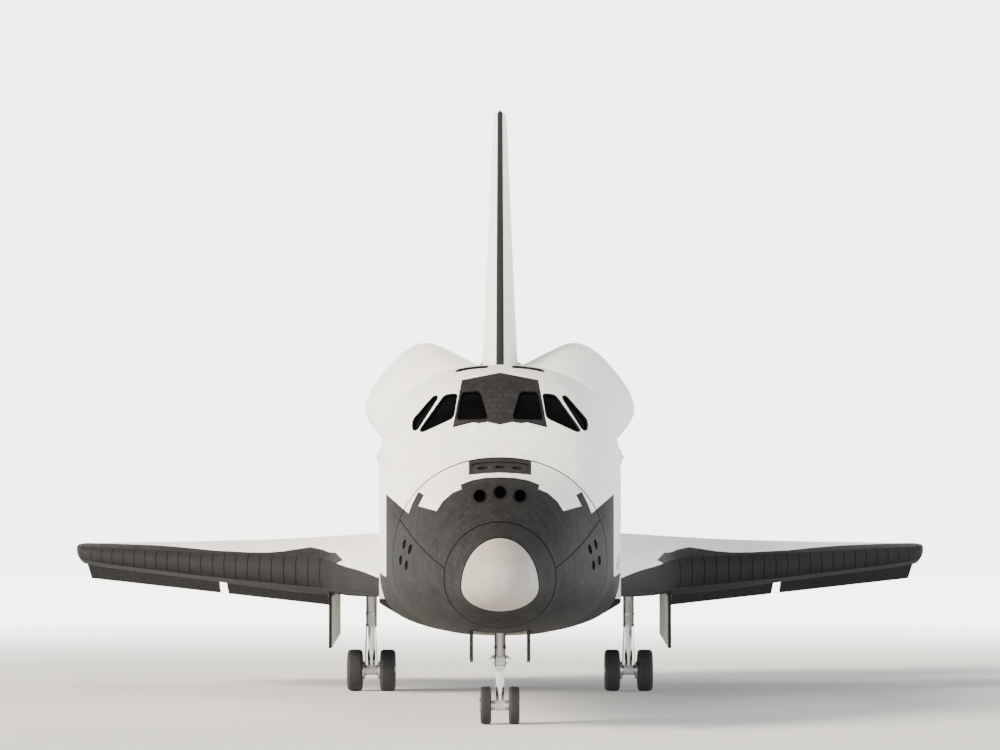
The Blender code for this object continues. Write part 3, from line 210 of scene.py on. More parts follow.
class GearSettings(bpy.types.PropertyGroup):
    """Colours of the landing gear and engines."""

    strut: FloatVectorProperty(
        name="Strut paint", description="Colour of the painted gear legs",
        subtype="COLOR", size=3, min=0, max=1, default=(0.66, 0.67, 0.68),
    )
    rubber: FloatVectorProperty(
        name="Tyre", description="Colour of the tyre rubber",
        subtype="COLOR", size=3, min=0, max=1, default=(0.030, 0.030, 0.032),
    )
    nozzle: FloatVectorProperty(
        name="Nozzle metal", description="Colour of the engine nozzles",
        subtype="COLOR", size=3, min=0, max=1, default=(0.36, 0.34, 0.32),
    )


class StageSettings(bpy.types.PropertyGroup):
    """Floor and lights."""

    floor: FloatVectorProperty(
        name="Floor", description="Colour of the floor",
        subtype="COLOR", size=3, min=0, max=1, default=(0.82, 0.82, 0.82),
    )
    surround: FloatProperty(
        name="Surround", description="Strength of the white surround near the horizon", default=5.0
    )
    overhead: FloatProperty(
        name="Overhead", description="Strength of the light from overhead", default=0.4
    )
    key: FloatProperty(name="Key", description="Strength of the warm key light", default=8.5)
    clearing: FloatProperty(
        name="Clearing", description="Radius of the plain floor before it fades into the surround",
        unit="LENGTH", default=45.0,
    )


# Curves and sections.


def slope(rows, k, column):
    """A slope through row k that keeps the curve from overshooting."""
    steps = []
    for a, b in ((k - 1, k), (k, k + 1)):
        if a >= 0 and b < len(rows):
            steps.append((rows[b][column] - rows[a][column]) / (rows[b][0] - rows[a][0]))
    if len(steps) == 1:
        return steps[0]
    before, after = steps
    return 0.0 if before * after <= 0 else 2 * before * after / (before + after)


def eased(table, at, key=float):
    """Every column of a table at a value of its first, on smooth curves through its rows."""
    rows = [(key(row[0]), *row[1:]) for row in table]
    at = min(max(key(at), rows[0][0]), rows[-1][0])
    i = next(k for k in range(len(rows) - 1) if at <= rows[k + 1][0])
    low, high = rows[i], rows[i + 1]
    width = high[0] - low[0]
    t = (at - low[0]) / width
    values = []
    for column in range(1, len(low)):
        a, b = slope(rows, i, column) * width, slope(rows, i + 1, column) * width
        p, q = low[column], high[column]
        values.append(
            p + t * a + t * t * (3 * (q - p) - 2 * a - b) + t**3 * (2 * (p - q) + a + b)
        )
    return values


def between(table, at):
    """Every column of a table at a value of its first, on straight lines."""
    i = next((k for k in range(len(table) - 1) if at <= table[k + 1][0]), len(table) - 2)
    low, high = table[i], table[i + 1]
    t = (at - low[0]) / (high[0] - low[0])
    return [p + t * (q - p) for p, q in zip(low[1:], high[1:])]


def put(x, y, z):
    """Where a piece stands that is drawn round the origin."""
    return Matrix.Translation((x, y, z))


def spread(start, end, steps):
    """Evenly spaced values from start to end."""
    return [start + (end - start) * i / steps for i in range(steps + 1)]


def flowing(points, steps):
    """A smooth curve through points, with steps between each two."""
    ends = [points[0], *points, points[-1]]
    path = []
    for i in range(len(points) - 1):
        a, b, c, d = (Vector(p) for p in ends[i : i + 4])
        for step in range(steps):
            t = step / steps
            path.append(
                0.5 * (2 * b + (c - a) * t + (2 * a - 5 * b + 4 * c - d) * t**2
                       + (3 * b - a - 3 * c + d) * t**3)
            )
    return [*path, Vector(points[-1])]


def mirrored(half):
    """A whole outline from its left half in the picture."""
    other = [(PICTURE_WIDTH - x, y) for x, y in reversed(half) if abs(x - MIDDLE_X) > 0.01]
    return [*half, *other]


def circle(x, y, radius, steps=28):
    return [
        (x + radius * math.cos(math.tau * i / steps), y + radius * math.sin(math.tau * i / steps))
        for i in range(steps)
    ]


def swollen(outline, share):
    """An outline grown by a share about its middle."""
    middle = [sum(p[k] for p in outline) / len(outline) for k in (0, 1)]
    return [tuple(p[k] + (p[k] - middle[k]) * share for k in (0, 1)) for p in outline]


def outset(outline, middle, rim):
    """An outline whose points are moved away from its middle by a rim across and one along."""
    return [
        tuple(v + math.copysign(r, v - m) for v, m, r in zip(p, middle, rim)) for p in outline
    ]


def rectangle(low, high):
    """The outline of a rectangle from its lowest and highest corners."""
    return [low, (high[0], low[1]), high, (low[0], high[1])]


def rounded(outline, radius, steps=5):
    """An outline with its corners rounded."""
    path = []
    for i, corner in enumerate(outline):
        corner = Vector(corner)
        before, after = Vector(outline[i - 1]), Vector(outline[(i + 1) % len(outline)])
        reach = [min(radius, (p - corner).length * 0.45) for p in (before, after)]
        a = corner + (before - corner).normalized() * reach[0]
        b = corner + (after - corner).normalized() * reach[1]
        for step in range(steps + 1):
            t = step / steps
            path.append(tuple(a * (1 - t) ** 2 + corner * 2 * t * (1 - t) + b * t * t))
    return path


def super_point(angle, half, waist, top, low, up, down):
    """A point of a section whose upper and lower halves have powers of their own."""
    c, s = math.cos(angle), math.sin(angle)
    power = up if s >= 0 else down
    reach = (abs(c) ** power + abs(s) ** power) ** (-1 / power)
    return half * reach * c, waist + ((top if s >= 0 else low) - waist) * reach * abs(s)


def forward_row(station, inset=0.0, floor=-9.0, count=144):
    """A ring of the forward body, from the keel round its left side and crown."""
    half, low, wide, top, up, down, rise = eased(FORWARD, station, math.sqrt)
    row = []
    for i in range(count):
        angle = math.tau * i / count - math.pi / 2
        x, z = super_point(angle, half - inset, wide, top - inset, low + inset, up, down)
        if z < wide:
            z += rise * (x / half) ** 2 * (wide - z) / (wide - low)
        row.append((x, station, max(z, floor)))
    return row


def arch_point(angle, out=0.0):
    """A point of the middle body's section, moved out by a distance."""
    return super_point(angle, HALF_WIDTH + out, WAIST_Z, CROWN_Z + out, -out, ARCH_POWER, 8)


def hinge_at(x):
    """Height and nose radius of the elevon hinge line."""
    share = (x - HINGE_INNER[0]) / (HINGE_OUTER[0] - HINGE_INNER[0])
    return [a + share * (b - a) for a, b in zip(HINGE_INNER[1:], HINGE_OUTER[1:])]


def trailing_edge(x):
    """Station where the hinged edge of the wing ends."""
    return TRAILING_STATION - TRAILING_SWEEP * x


def wing_top(row, station):
    """Height of the wing's upper skin on a section."""
    x, nose_s, nose_z, _, _, _, crest_s, crest_z = row
    if station <= crest_s:
        share = (station - nose_s) / (crest_s - nose_s)
        return nose_z + math.sqrt(max(0, 1 - (1 - share) ** 2)) * (crest_z - nose_z)
    hinge_z, radius = hinge_at(x)
    share = (station - crest_s) / (HINGE_STATION - crest_s)
    return crest_z + (1 - math.cos(math.pi * share)) / 2 * (hinge_z + radius - crest_z)


def wing_bottom(row, station):
    """Height of the wing's lower skin on a section."""
    x, nose_s, nose_z, under, flat_s, flat_z, _, _ = row
    depth = min(0.9, 0.25 * (flat_s - nose_s))
    if station <= nose_s + depth:
        share = (station - nose_s) / depth
        return nose_z + math.sqrt(max(0, 1 - (1 - share) ** 2)) * (under - nose_z)
    if station <= flat_s:
        share = (station - nose_s - depth) / (flat_s - nose_s - depth)
        return under + share * (flat_z - under)
    hinge_z, radius = hinge_at(x)
    share = (station - flat_s) / (HINGE_STATION - flat_s)
    return flat_z + share * (hinge_z - radius - flat_z)


# Gathering faces into pieces.


def seen(view, p):
    """Where a point lies in a view."""
    if view == "front":
        away = p[1] - EYE.y
        return MIDDLE_X + REACH * p[0] / away, MIDDLE_Y - REACH * (p[2] - EYE.z) / away
    return (p[1], p[2]) if view == "side" else (p[0], p[1])


def blade(view, a, b):
    """The plane, as a point and a normal, that cuts along the line from a to b in a view."""
    if view == "front":
        sights = [Vector((p[0] - MIDDLE_X, REACH, MIDDLE_Y - p[1])) for p in (a, b)]
        return EYE, sights[0].cross(sights[1])
    if view == "side":
        return Vector((0, *a)), Vector((0, b[0] - a[0], b[1] - a[1])).cross((1, 0, 0))
    return Vector((*a, 0)), Vector((b[0] - a[0], b[1] - a[1], 0)).cross((0, 0, 1))


def holds(outline, p):
    """Whether a point is inside an outline."""
    inside = False
    for a, b in zip(outline, outline[1:] + outline[:1]):
        if (a[1] > p[1]) != (b[1] > p[1]):
            inside ^= p[0] < a[0] + (b[0] - a[0]) * (p[1] - a[1]) / (b[1] - a[1])
    return inside


def anywhere(centre, normal):
    """A test that every face passes."""
    return True


def facing(axis, way, steep=0.3):
    """A test for faces whose normal along an axis, one way or the other, is over a share."""
    def passes(centre, normal):
        return normal[axis] * way > steep
    return passes


def at_stations(low, high=LENGTH):
    """A test for faces between two stations."""
    def passes(centre, normal):
        return low < centre.y < high
    return passes


def shifted(x=0.0, y=0.0, z=0.0):
    """A move by a fixed amount."""
    def move(point):
        return point + Vector((x, y, z))
    return move


def drawn_in(middle, share, depth):
    """A move on the left side: inwards by a depth, and towards a middle (station, height)."""
    def move(point):
        s, z = middle
        return Vector((point.x - depth, s + (point.y - s) * share, z + (point.z - z) * share))
    return move


class Shape:
    """Faces gathered in the vehicle's axes, with a finish and a place in metres for each."""

    def __init__(self):
        self.mesh = bmesh.new()
        self.metres = self.mesh.loops.layers.uv.new("metres")
        self.finishes = []

    def number(self, finish):
        if finish not in self.finishes:
            self.finishes.append(finish)
        return self.finishes.index(finish)

    def grid(self, rows, finish, closed=False, flip=False, caps=False):
        """A skin over rows of points; it faces the rows' direction crossed with the points'."""
        rows = [[Vector(p) for p in row] for row in rows]
        count, index = len(rows[0]), self.number(finish)
        spots = []
        along = 0.0
        for i, row in enumerate(rows):
            run = [0.0]
            for j in range(1, count + closed):
                run.append(run[-1] + (row[j % count] - row[j - 1]).length)
            if i:
                along += (row[count // 2] - rows[i - 1][count // 2]).length
            spots.append([(u - run[count // 2], along) for u in run])
        verts = [[self.mesh.verts.new(p) for p in row] for row in rows]
        made = []
        for i in range(len(rows) - 1):
            for j in range(count - 1 + closed):
                corners = [(i, j), (i + 1, j), (i + 1, j + 1), (i, j + 1)]
                corners = corners[::-1] if flip else corners
                face = self.mesh.faces.new([verts[a][b % count] for a, b in corners])
                face.material_index = index
                for loop, (a, b) in zip(face.loops, corners):
                    loop[self.metres].uv = spots[a][b]
                made.append(face)
        if caps:
            for ring in (verts[0], verts[-1][::-1]):
                face = self.mesh.faces.new(ring[::-1] if flip else ring)
                face.material_index = index
                self.unwrap([face])
                made.append(face)
        self.mesh.normal_update()
        return made

    def cap(self, points, finish, flip=False):
        """A flat face over a ring of points."""
        ring = [self.mesh.verts.new(p) for p in (points[::-1] if flip else points)]
        face = self.mesh.faces.new(ring)
        face.material_index = self.number(finish)
        self.unwrap([face])

    def unwrap(self, faces):
        """Places faces in metres by the way that they face."""
        for face in faces:
            face.normal_update()
            across = max(range(3), key=lambda k: abs(face.normal[k]))
            u, v = [(1, 2), (0, 2), (0, 1)][across]
            for loop in face.loops:
                loop[self.metres].uv = (loop.vert.co[u], loop.vert.co[v])

    def turned(self, profile, finish, place=None, segments=64, axis="Y"):
        """A turned form from a profile of (distance along its axis, radius)."""
        place = Matrix() if place is None else place
        rows = []
        for along, radius in profile:
            row = []
            for i in range(segments):
                c, s = math.cos(math.tau * i / segments), math.sin(math.tau * i / segments)
                if axis == "Y":
                    p = (radius * c, along, radius * s)
                elif axis == "X":
                    p = (along, radius * s, radius * c)
                else:
                    p = (radius * s, radius * c, along)
                row.append(place @ Vector(p))
            rows.append(row)
        return self.grid(rows, finish, closed=True)

    def band(self, at, radius, half, edge, drop, finish, place, segments=40, axis="Y"):
        """A raised collar at a distance along its axis, with bevelled edges."""
        low = [(at - half, radius - drop), (at - half + edge, radius)]
        high = [(at + half - edge, radius), (at + half, radius - drop)]
        self.turned(low + high, finish, place, segments, axis)

    def tube(self, path, radius, finish, sides=12, place=None):
        """A round bar along a path, closed at its ends."""
        place = Matrix() if place is None else place
        path = [Vector(p) for p in path]
        rows = []
        side = None
        for i, p in enumerate(path):
            ahead = (path[min(i + 1, len(path) - 1)] - path[max(i - 1, 0)]).normalized()
            side = ahead.orthogonal() if side is None else side - ahead * side.dot(ahead)
            side.normalize()
            up = ahead.cross(side)
            ring = [(math.tau * k / sides) for k in range(sides)]
            ring = [p + radius * (side * math.cos(a) - up * math.sin(a)) for a in ring]
            rows.append([place @ point for point in ring])
        return self.grid(rows, finish, closed=True, flip=True, caps=True)

    def block(self, low, high, finish, place=None, bevel=0.0):
        """A box with softened edges."""
        place = Matrix() if place is None else place
        low, high = Vector(low), Vector(high)
        size = Matrix.Diagonal((*(high - low), 1))
        where = place @ Matrix.Translation((low + high) / 2) @ size
        made = bmesh.ops.create_cube(self.mesh, size=1, matrix=where)["verts"]
        if bevel:
            edges = list({edge for vert in made for edge in vert.link_edges})
            cut = bmesh.ops.bevel(self.mesh, geom=edges, offset=bevel, segments=2, affect="EDGES")
            made = cut["verts"]
        faces = list({face for vert in made for face in vert.link_faces})
        for face in faces:
            face.material_index = self.number(finish)
        self.unwrap(faces)
        return faces

    def scored(self, outline, view="front", where=anywhere):
        """Cuts the skin along an outline in a view, and returns the faces inside it."""
        outline = [tuple(p) for p in outline]
        low = [min(p[k] for p in outline) for k in (0, 1)]
        high = [max(p[k] for p in outline) for k in (0, 1)]

        def near(face, low, high):
            spots = [seen(view, vert.co) for vert in face.verts]
            return all(
                max(s[k] for s in spots) >= low[k] and min(s[k] for s in spots) <= high[k]
                for k in (0, 1)
            )

        faces = {
            f for f in self.mesh.faces
            if where(f.calc_center_median(), f.normal) and near(f, low, high)
        }
        for a, b in zip(outline, outline[1:] + outline[:1]):
            if max(abs(a[0] - b[0]), abs(a[1] - b[1])) < 1e-6:
                continue
            lo, hi = [min(p, q) for p, q in zip(a, b)], [max(p, q) for p, q in zip(a, b)]
            chosen = {f for f in faces if near(f, lo, hi)}
            parts = {part for f in chosen for part in (f, *f.edges, *f.verts)}
            point, normal = blade(view, a, b)
            cut = bmesh.ops.bisect_plane(
                self.mesh, geom=list(parts), plane_co=point, plane_no=normal, dist=1e-6
            )
            new = {part for part in cut["geom"] if isinstance(part, bmesh.types.BMFace)}
            for face in new:
                face.normal_update()
            faces = {f for f in faces | new if f.is_valid}
        return [
            f for f in faces
            if where(f.calc_center_median(), f.normal)
            and holds(outline, seen(view, f.calc_center_median()))
        ]

    def paint(self, finish, outline, view="front", where=anywhere):
        index = self.number(finish)
        for face in self.scored(outline, view, where):
            face.material_index = index

    def recess(self, outline, view, where, move, wall, floor=None):
        """Sinks the skin inside an outline: move takes a point of it to the bottom's."""
        faces = self.scored(outline, view, where)
        made = bmesh.ops.extrude_face_region(self.mesh, geom=faces)["geom"]
        caps = {part for part in made if isinstance(part, bmesh.types.BMFace)}
        moved = [part for part in made if isinstance(part, bmesh.types.BMVert)]
        for vert in moved:
            vert.co = move(vert.co.copy())
        walls = {face for vert in moved for face in vert.link_faces} - caps
        for face in walls:
            face.material_index = self.number(wall)
        self.unwrap(walls)
        left = [face for face in faces if face.is_valid]
        if floor is None:
            left += caps
        for face in caps:
            face.material_index = self.number(floor or wall)
            face.normal_update()
        bmesh.ops.delete(self.mesh, geom=left, context="FACES")

    def port(self, outline, view, where, move):
        """A dark hole inside an outline; its near-black walls and bottom are painted shade of its
        depth.
        """
        self.recess(outline, view, where, move, "port_black", "port_black")

    def absorb(self, mesh, finish, place=None):
        """Adds a ready mesh."""
        before = set(self.mesh.faces)
        mesh.transform(place or Matrix())
        self.mesh.from_mesh(mesh)
        faces = [face for face in self.mesh.faces if face not in before]
        for face in faces:
            face.material_index = self.number(finish)
        self.unwrap(faces)

    def piece(self, name, body, replaces=(), keep=None, sharp=32):
        """Makes the object of this name, which rides on a body; keep chooses its faces."""
        work = self.mesh.copy()
        if keep is not None:
            spare = [face for face in work.faces if not keep(face.calc_center_median())]
            bmesh.ops.delete(work, geom=spare, context="FACES")
        work.transform(PLACE)
        mesh = bpy.data.meshes.new(name)
        work.to_mesh(mesh)
        work.free()
        used = sorted({polygon.material_index for polygon in mesh.polygons})
        for polygon in mesh.polygons:
            polygon.material_index = used.index(polygon.material_index)
        for index in used:
            mesh.materials.append(finish_named(self.finishes[index]))
        mesh.shade_smooth()
        mesh.set_sharp_from_angle(angle=math.radians(sharp))
        thing = bpy.data.objects.new(name, mesh)
        bpy.context.scene.collection.objects.link(thing)
        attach(thing, body)
        if replaces:
            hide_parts(*replaces)
        return thing


# Geometry nodes.


def new_tree(name, inputs):
    """A geometry tree with named inputs, each (name, socket type)."""
    tree = bpy.data.node_groups.new(name, "GeometryNodeTree")
    face = tree.interface
    face.new_socket("Geometry", in_out="INPUT", socket_type="NodeSocketGeometry")
    for label, kind in inputs:
        face.new_socket(label, in_out="INPUT", socket_type=f"NodeSocket{kind}")
    face.new_socket("Geometry", in_out="OUTPUT", socket_type="NodeSocketGeometry")
    return tree


def finish_tree(tree, instances, given):
    """Ends a tree by making its copies real and giving them their finish."""
    real = node(tree, "GeometryNodeRealizeInstances", {"Geometry": instances})
    dressed = node(
        tree, "GeometryNodeSetMaterial",
        {"Geometry": real.outputs["Geometry"], "Material": given.outputs["Finish"]},
    )
    node(tree, "NodeGroupOutput", {"Geometry": dressed.outputs["Geometry"]})


def repeat_tree():
    """Copies of the shape itself, each moved by Step and turned by Turn from the one before."""
    if "repeat_unit" in bpy.data.node_groups:
        return bpy.data.node_groups["repeat_unit"]
    inputs = [("Count", "Int"), ("Step", "Vector"), ("Turn", "Vector"), ("Finish", "Material")]
    tree = new_tree("repeat_unit", inputs)
    given = node(tree, "NodeGroupInput")
    line = node(
        tree, "GeometryNodeMeshLine",
        {"Count": given.outputs["Count"], "Offset": given.outputs["Step"]},
    )
    index = node(tree, "GeometryNodeInputIndex")
    turn = node(
        tree, "ShaderNodeVectorMath", {0: index.outputs[0], 1: given.outputs["Turn"]},
        operation="MULTIPLY",
    )
    copies = node(
        tree, "GeometryNodeInstanceOnPoints",
        {"Points": line.outputs["Mesh"], "Instance": given.outputs["Geometry"],
         "Rotation": turn.outputs["Vector"]},
    )
    finish_tree(tree, copies.outputs["Instances"], given)
    return tree


def follow_tree():
    """Copies of another object's shape at even spacing along the line of the shape itself."""
    if "follow_line" in bpy.data.node_groups:
        return bpy.data.node_groups["follow_line"]
    tree = new_tree("follow_line", [("Unit", "Object"), ("Spacing", "Float"), ("Finish", "Material")])
    given = node(tree, "NodeGroupInput")
    curve = node(tree, "GeometryNodeMeshToCurve", {"Mesh": given.outputs["Geometry"]})
    spots = node(
        tree, "GeometryNodeCurveToPoints",
        {"Curve": curve.outputs["Curve"], "Length": given.outputs["Spacing"]}, mode="LENGTH",
    )
    unit = node(tree, "GeometryNodeObjectInfo", {"Object": given.outputs["Unit"]})
    copies = node(
        tree, "GeometryNodeInstanceOnPoints",
        {"Points": spots.outputs["Points"], "Instance": unit.outputs["Geometry"],
         "Rotation": spots.outputs["Rotation"]},
    )
    finish_tree(tree, copies.outputs["Instances"], given)
    return tree


def grown(mesh, tree, settings):
    """The plain mesh that a geometry tree makes from a mesh."""
    thing = bpy.data.objects.new("unit", mesh)
    bpy.context.scene.collection.objects.link(thing)
    modifier = thing.modifiers.new("repeat", "NODES")
    modifier.node_group = tree
    for item in tree.interface.items_tree:
        if item.in_out == "INPUT" and item.name in settings:
            modifier[item.identifier] = settings[item.name]
    depsgraph = bpy.context.evaluated_depsgraph_get()
    made = bpy.data.meshes.new_from_object(thing.evaluated_get(depsgraph))
    thing.modifiers.clear()
    bpy.data.objects.remove(thing)
    return made


def unit_mesh(unit):
    """The mesh of a gathered shape."""
    mesh = bpy.data.meshes.new("unit")
    unit.mesh.to_mesh(mesh)
    return mesh


def repeated(shape, unit, finish, count, step=(0, 0, 0), turn=(0, 0, 0), place=None):
    """Adds to a shape a row or ring of copies of a small one."""
    settings = {"Count": count, "Step": step, "Turn": turn, "Finish": finish_named(finish)}
    shape.absorb(grown(unit_mesh(unit), repeat_tree(), settings), finish, place)


def studded(shape, path, spacing, finish, radius=0.012, closed=True):
    """Adds a row of small fasteners along a path."""
    line = bpy.data.meshes.new("line")
    edges = [(i, i + 1) for i in range(len(path) - 1)]
    line.from_pydata([tuple(p) for p in path], edges + ([(len(path) - 1, 0)] if closed else []), [])
    stud = Shape()
    bmesh.ops.create_icosphere(stud.mesh, subdivisions=1, radius=radius)
    unit = bpy.data.objects.new("stud", unit_mesh(stud))
    bpy.context.scene.collection.objects.link(unit)
    settings = {"Unit": unit, "Spacing": spacing, "Finish": finish_named(finish)}
    shape.absorb(grown(line, follow_tree(), settings), finish)
    bpy.data.objects.remove(unit)


# Shader nodes.


def node(tree, kind, links=None, **settings):
    """A node with its settings; a link's value is a socket to join or a plain value."""
    made = tree.nodes.new(kind)
    for key, value in settings.items():
        setattr(made, key, value)
    for key, value in (links or {}).items():
        if isinstance(value, bpy.types.NodeSocket):
            tree.links.new(value, made.inputs[key])
        else:
            made.inputs[key].default_value = value
    return made


def maths(tree, operation, *values):
    """The result of a sum on sockets or plain values."""
    return node(tree, "ShaderNodeMath", dict(enumerate(values)), operation=operation).outputs[0]


def effect_group(name, inputs, outputs):
    """An empty shader group: each input is (name, type, default), each output (name, type)."""
    tree = bpy.data.node_groups.new(name, "ShaderNodeTree")
    for label, kind, default in inputs:
        socket = tree.interface.new_socket(label, in_out="INPUT", socket_type=f"NodeSocket{kind}")
        if default is not None:
            socket.default_value = default
    for label, kind in outputs:
        tree.interface.new_socket(label, in_out="OUTPUT", socket_type=f"NodeSocket{kind}")
    return tree, node(tree, "NodeGroupInput"), node(tree, "NodeGroupOutput")


def send(tree, end, **outputs):
    """Joins sockets to a group's outputs by name."""
    for label, socket in outputs.items():
        tree.links.new(socket, end.inputs[label])


def tiling_group():
    """Tiles laid in staggered rows: their joints, a shade for each, and their height."""
    if "tiling" in bpy.data.node_groups:
        return bpy.data.node_groups["tiling"]
    inputs = [("Place", "Vector", None), ("Length", "Float", 0.15), ("Width", "Float", 0.15)]
    inputs += [("Joint", "Float", 0.006)]
    outputs = [("Joints", "Float"), ("Shade", "Float"), ("Height", "Float")]
    tree, given, end = effect_group("tiling", inputs, outputs)
    brick = node(
        tree, "ShaderNodeTexBrick",
        {"Vector": given.outputs["Place"], "Scale": 1.0, "Mortar Size": given.outputs["Joint"],
         "Mortar Smooth": 0.3, "Brick Width": given.outputs["Length"],
         "Row Height": given.outputs["Width"], "Color1": (0, 0, 0, 1), "Color2": (1, 1, 1, 1),
         "Mortar": (0.5, 0.5, 0.5, 1)},
    )
    shade = node(tree, "ShaderNodeRGBToBW", {"Color": brick.outputs["Color"]})
    height = maths(tree, "SUBTRACT", 1.0, brick.outputs["Fac"])
    send(tree, end, Joints=brick.outputs["Fac"], Shade=shade.outputs[0], Height=height)
    return tree


def weather_group():
    """Wear from flight: broad stains, streaks along the airflow and fine grain."""
    if "weather" in bpy.data.node_groups:
        return bpy.data.node_groups["weather"]
    inputs = [("Place", "Vector", None)]
    tree, given, end = effect_group("weather", inputs, [("Stain", "Float"), ("Grain", "Float")])
    long = node(
        tree, "ShaderNodeMapping", {"Vector": given.outputs["Place"], "Scale": (3.0, 0.35, 3.0)}
    )
    streaks = node(
        tree, "ShaderNodeTexNoise", {"Vector": long.outputs[0], "Scale": 1.1, "Detail": 5.0}
    )
    broad = node(
        tree, "ShaderNodeTexNoise",
        {"Vector": given.outputs["Place"], "Scale": 0.45, "Detail": 3.0},
    )
    grain = node(
        tree, "ShaderNodeTexNoise",
        {"Vector": given.outputs["Place"], "Scale": 38.0, "Detail": 3.0},
    )
    both = maths(tree, "MULTIPLY", streaks.outputs["Fac"], broad.outputs["Fac"])
    spread_out = node(
        tree, "ShaderNodeMapRange",
        {"Value": both, "From Min": 0.12, "From Max": 0.42, "To Min": 0.0, "To Max": 1.0},
    )
    send(tree, end, Stain=spread_out.outputs[0], Grain=grain.outputs["Fac"])
    return tree


def quilt_group():
    """Pillows of a sewn blanket, as a height."""
    if "quilt" in bpy.data.node_groups:
        return bpy.data.node_groups["quilt"]
    inputs = [("Place", "Vector", None), ("Pitch", "Float", 0.05)]
    tree, given, end = effect_group("quilt", inputs, [("Height", "Float")])
    apart = node(tree, "ShaderNodeSeparateXYZ", {"Vector": given.outputs["Place"]})
    rate = maths(tree, "DIVIDE", math.pi, given.outputs["Pitch"])
    waves = []
    for label in "XY":
        turn = maths(tree, "MULTIPLY", apart.outputs[label], rate)
        waves.append(maths(tree, "ABSOLUTE", maths(tree, "SINE", turn)))
    send(tree, end, Height=maths(tree, "POWER", maths(tree, "MULTIPLY", *waves), 0.4))
    return tree


def edge_group():
    """Where a part's corners are rubbed."""
    if "rubbed_edges" in bpy.data.node_groups:
        return bpy.data.node_groups["rubbed_edges"]
    tree, given, end = effect_group("rubbed_edges", [], [("Rubbed", "Float")])
    shape = node(tree, "ShaderNodeNewGeometry")
    sharp = node(
        tree, "ShaderNodeMapRange",
        {"Value": shape.outputs["Pointiness"], "From Min": 0.52, "From Max": 0.60},
    )
    send(tree, end, Rubbed=sharp.outputs[0])
    return tree


def facing_group():
    """Where a point lies on the face it is on, for patterns on flat parts."""
    if "by_facing" in bpy.data.node_groups:
        return bpy.data.node_groups["by_facing"]
    inputs = [("Place", "Vector", None), ("Facing", "Vector", None)]
    tree, given, end = effect_group("by_facing", inputs, [("Flat", "Vector")])
    place = node(tree, "ShaderNodeSeparateXYZ", {"Vector": given.outputs["Place"]})
    ways = node(tree, "ShaderNodeVectorMath", {0: given.outputs["Facing"]}, operation="ABSOLUTE")
    way = node(tree, "ShaderNodeSeparateXYZ", {"Vector": ways.outputs[0]})
    flat = None
    for label, u, v in (("Z", "X", "Y"), ("X", "Y", "Z"), ("Y", "X", "Z")):
        side = node(tree, "ShaderNodeCombineXYZ", {"X": place.outputs[u], "Y": place.outputs[v]})
        if flat is None:
            flat = side.outputs[0]
            continue
        faced = maths(tree, "GREATER_THAN", way.outputs[label], 0.6)
        pick = node(
            tree, "ShaderNodeMix", {0: faced, 4: flat, 5: side.outputs[0]}, data_type="VECTOR"
        )
        flat = pick.outputs[1]
    send(tree, end, Flat=flat)
    return tree


def pattern_place(tree, spot, flat):
    """Where a pattern lies: by the way that a flat part faces, or unrolled over a skin."""
    if not flat:
        return spot.outputs["UV"]
    placed = use(tree, facing_group(), Place=spot.outputs["Object"], Facing=spot.outputs["Normal"])
    return placed.outputs["Flat"]


def use(tree, group, **links):
    """A shader group placed in a tree, with its inputs."""
    made = node(tree, "ShaderNodeGroup", node_tree=group)
    for label, value in links.items():
        if isinstance(value, bpy.types.NodeSocket):
            tree.links.new(value, made.inputs[label])
        else:
            made.inputs[label].default_value = value
    return made


def blend_colours(tree, factor, a, b):
    """A mix of two colours, each a socket or a plain colour."""
    made = node(tree, "ShaderNodeMix", {0: factor}, data_type="RGBA", clamp_factor=True)
    for index, value in ((6, a), (7, b)):
        if isinstance(value, bpy.types.NodeSocket):
            tree.links.new(value, made.inputs[index])
        else:
            made.inputs[index].default_value = (*value[:3], 1)
    return made.outputs[2]


def mixed(a, b, share):
    """A colour part of the way from one to another."""
    return tuple(p + (q - p) * share for p, q in zip(a, b))


def times(colour, share):
    """A colour made lighter or darker."""
    return tuple(min(1.0, c * share) for c in colour)


def start_material(name, colour):
    """A new material with its tree, its shader and its texture coordinates."""
    material = bpy.data.materials.new(name)
    material.use_nodes = True
    material.diffuse_color = (*colour[:3], 1)
    tree = material.node_tree
    shader = tree.nodes["Principled BSDF"]
    spot = node(tree, "ShaderNodeTexCoord")
    return material, tree, shader, spot


def join(tree, shader, colour, rough, height, depth):
    """Joins a colour, a roughness and a height to a material's shader."""
    tree.links.new(colour, shader.inputs["Base Color"])
    tree.links.new(rough, shader.inputs["Roughness"])
    bump = node(tree, "ShaderNodeBump", {"Height": height, "Strength": 0.6, "Distance": depth})
    tree.links.new(bump.outputs["Normal"], shader.inputs["Normal"])


def ranged(tree, value, low, high):
    """A value from 0 to 1 brought into a range."""
    return node(
        tree, "ShaderNodeMapRange", {"Value": value, "To Min": low, "To Max": high}
    ).outputs[0]


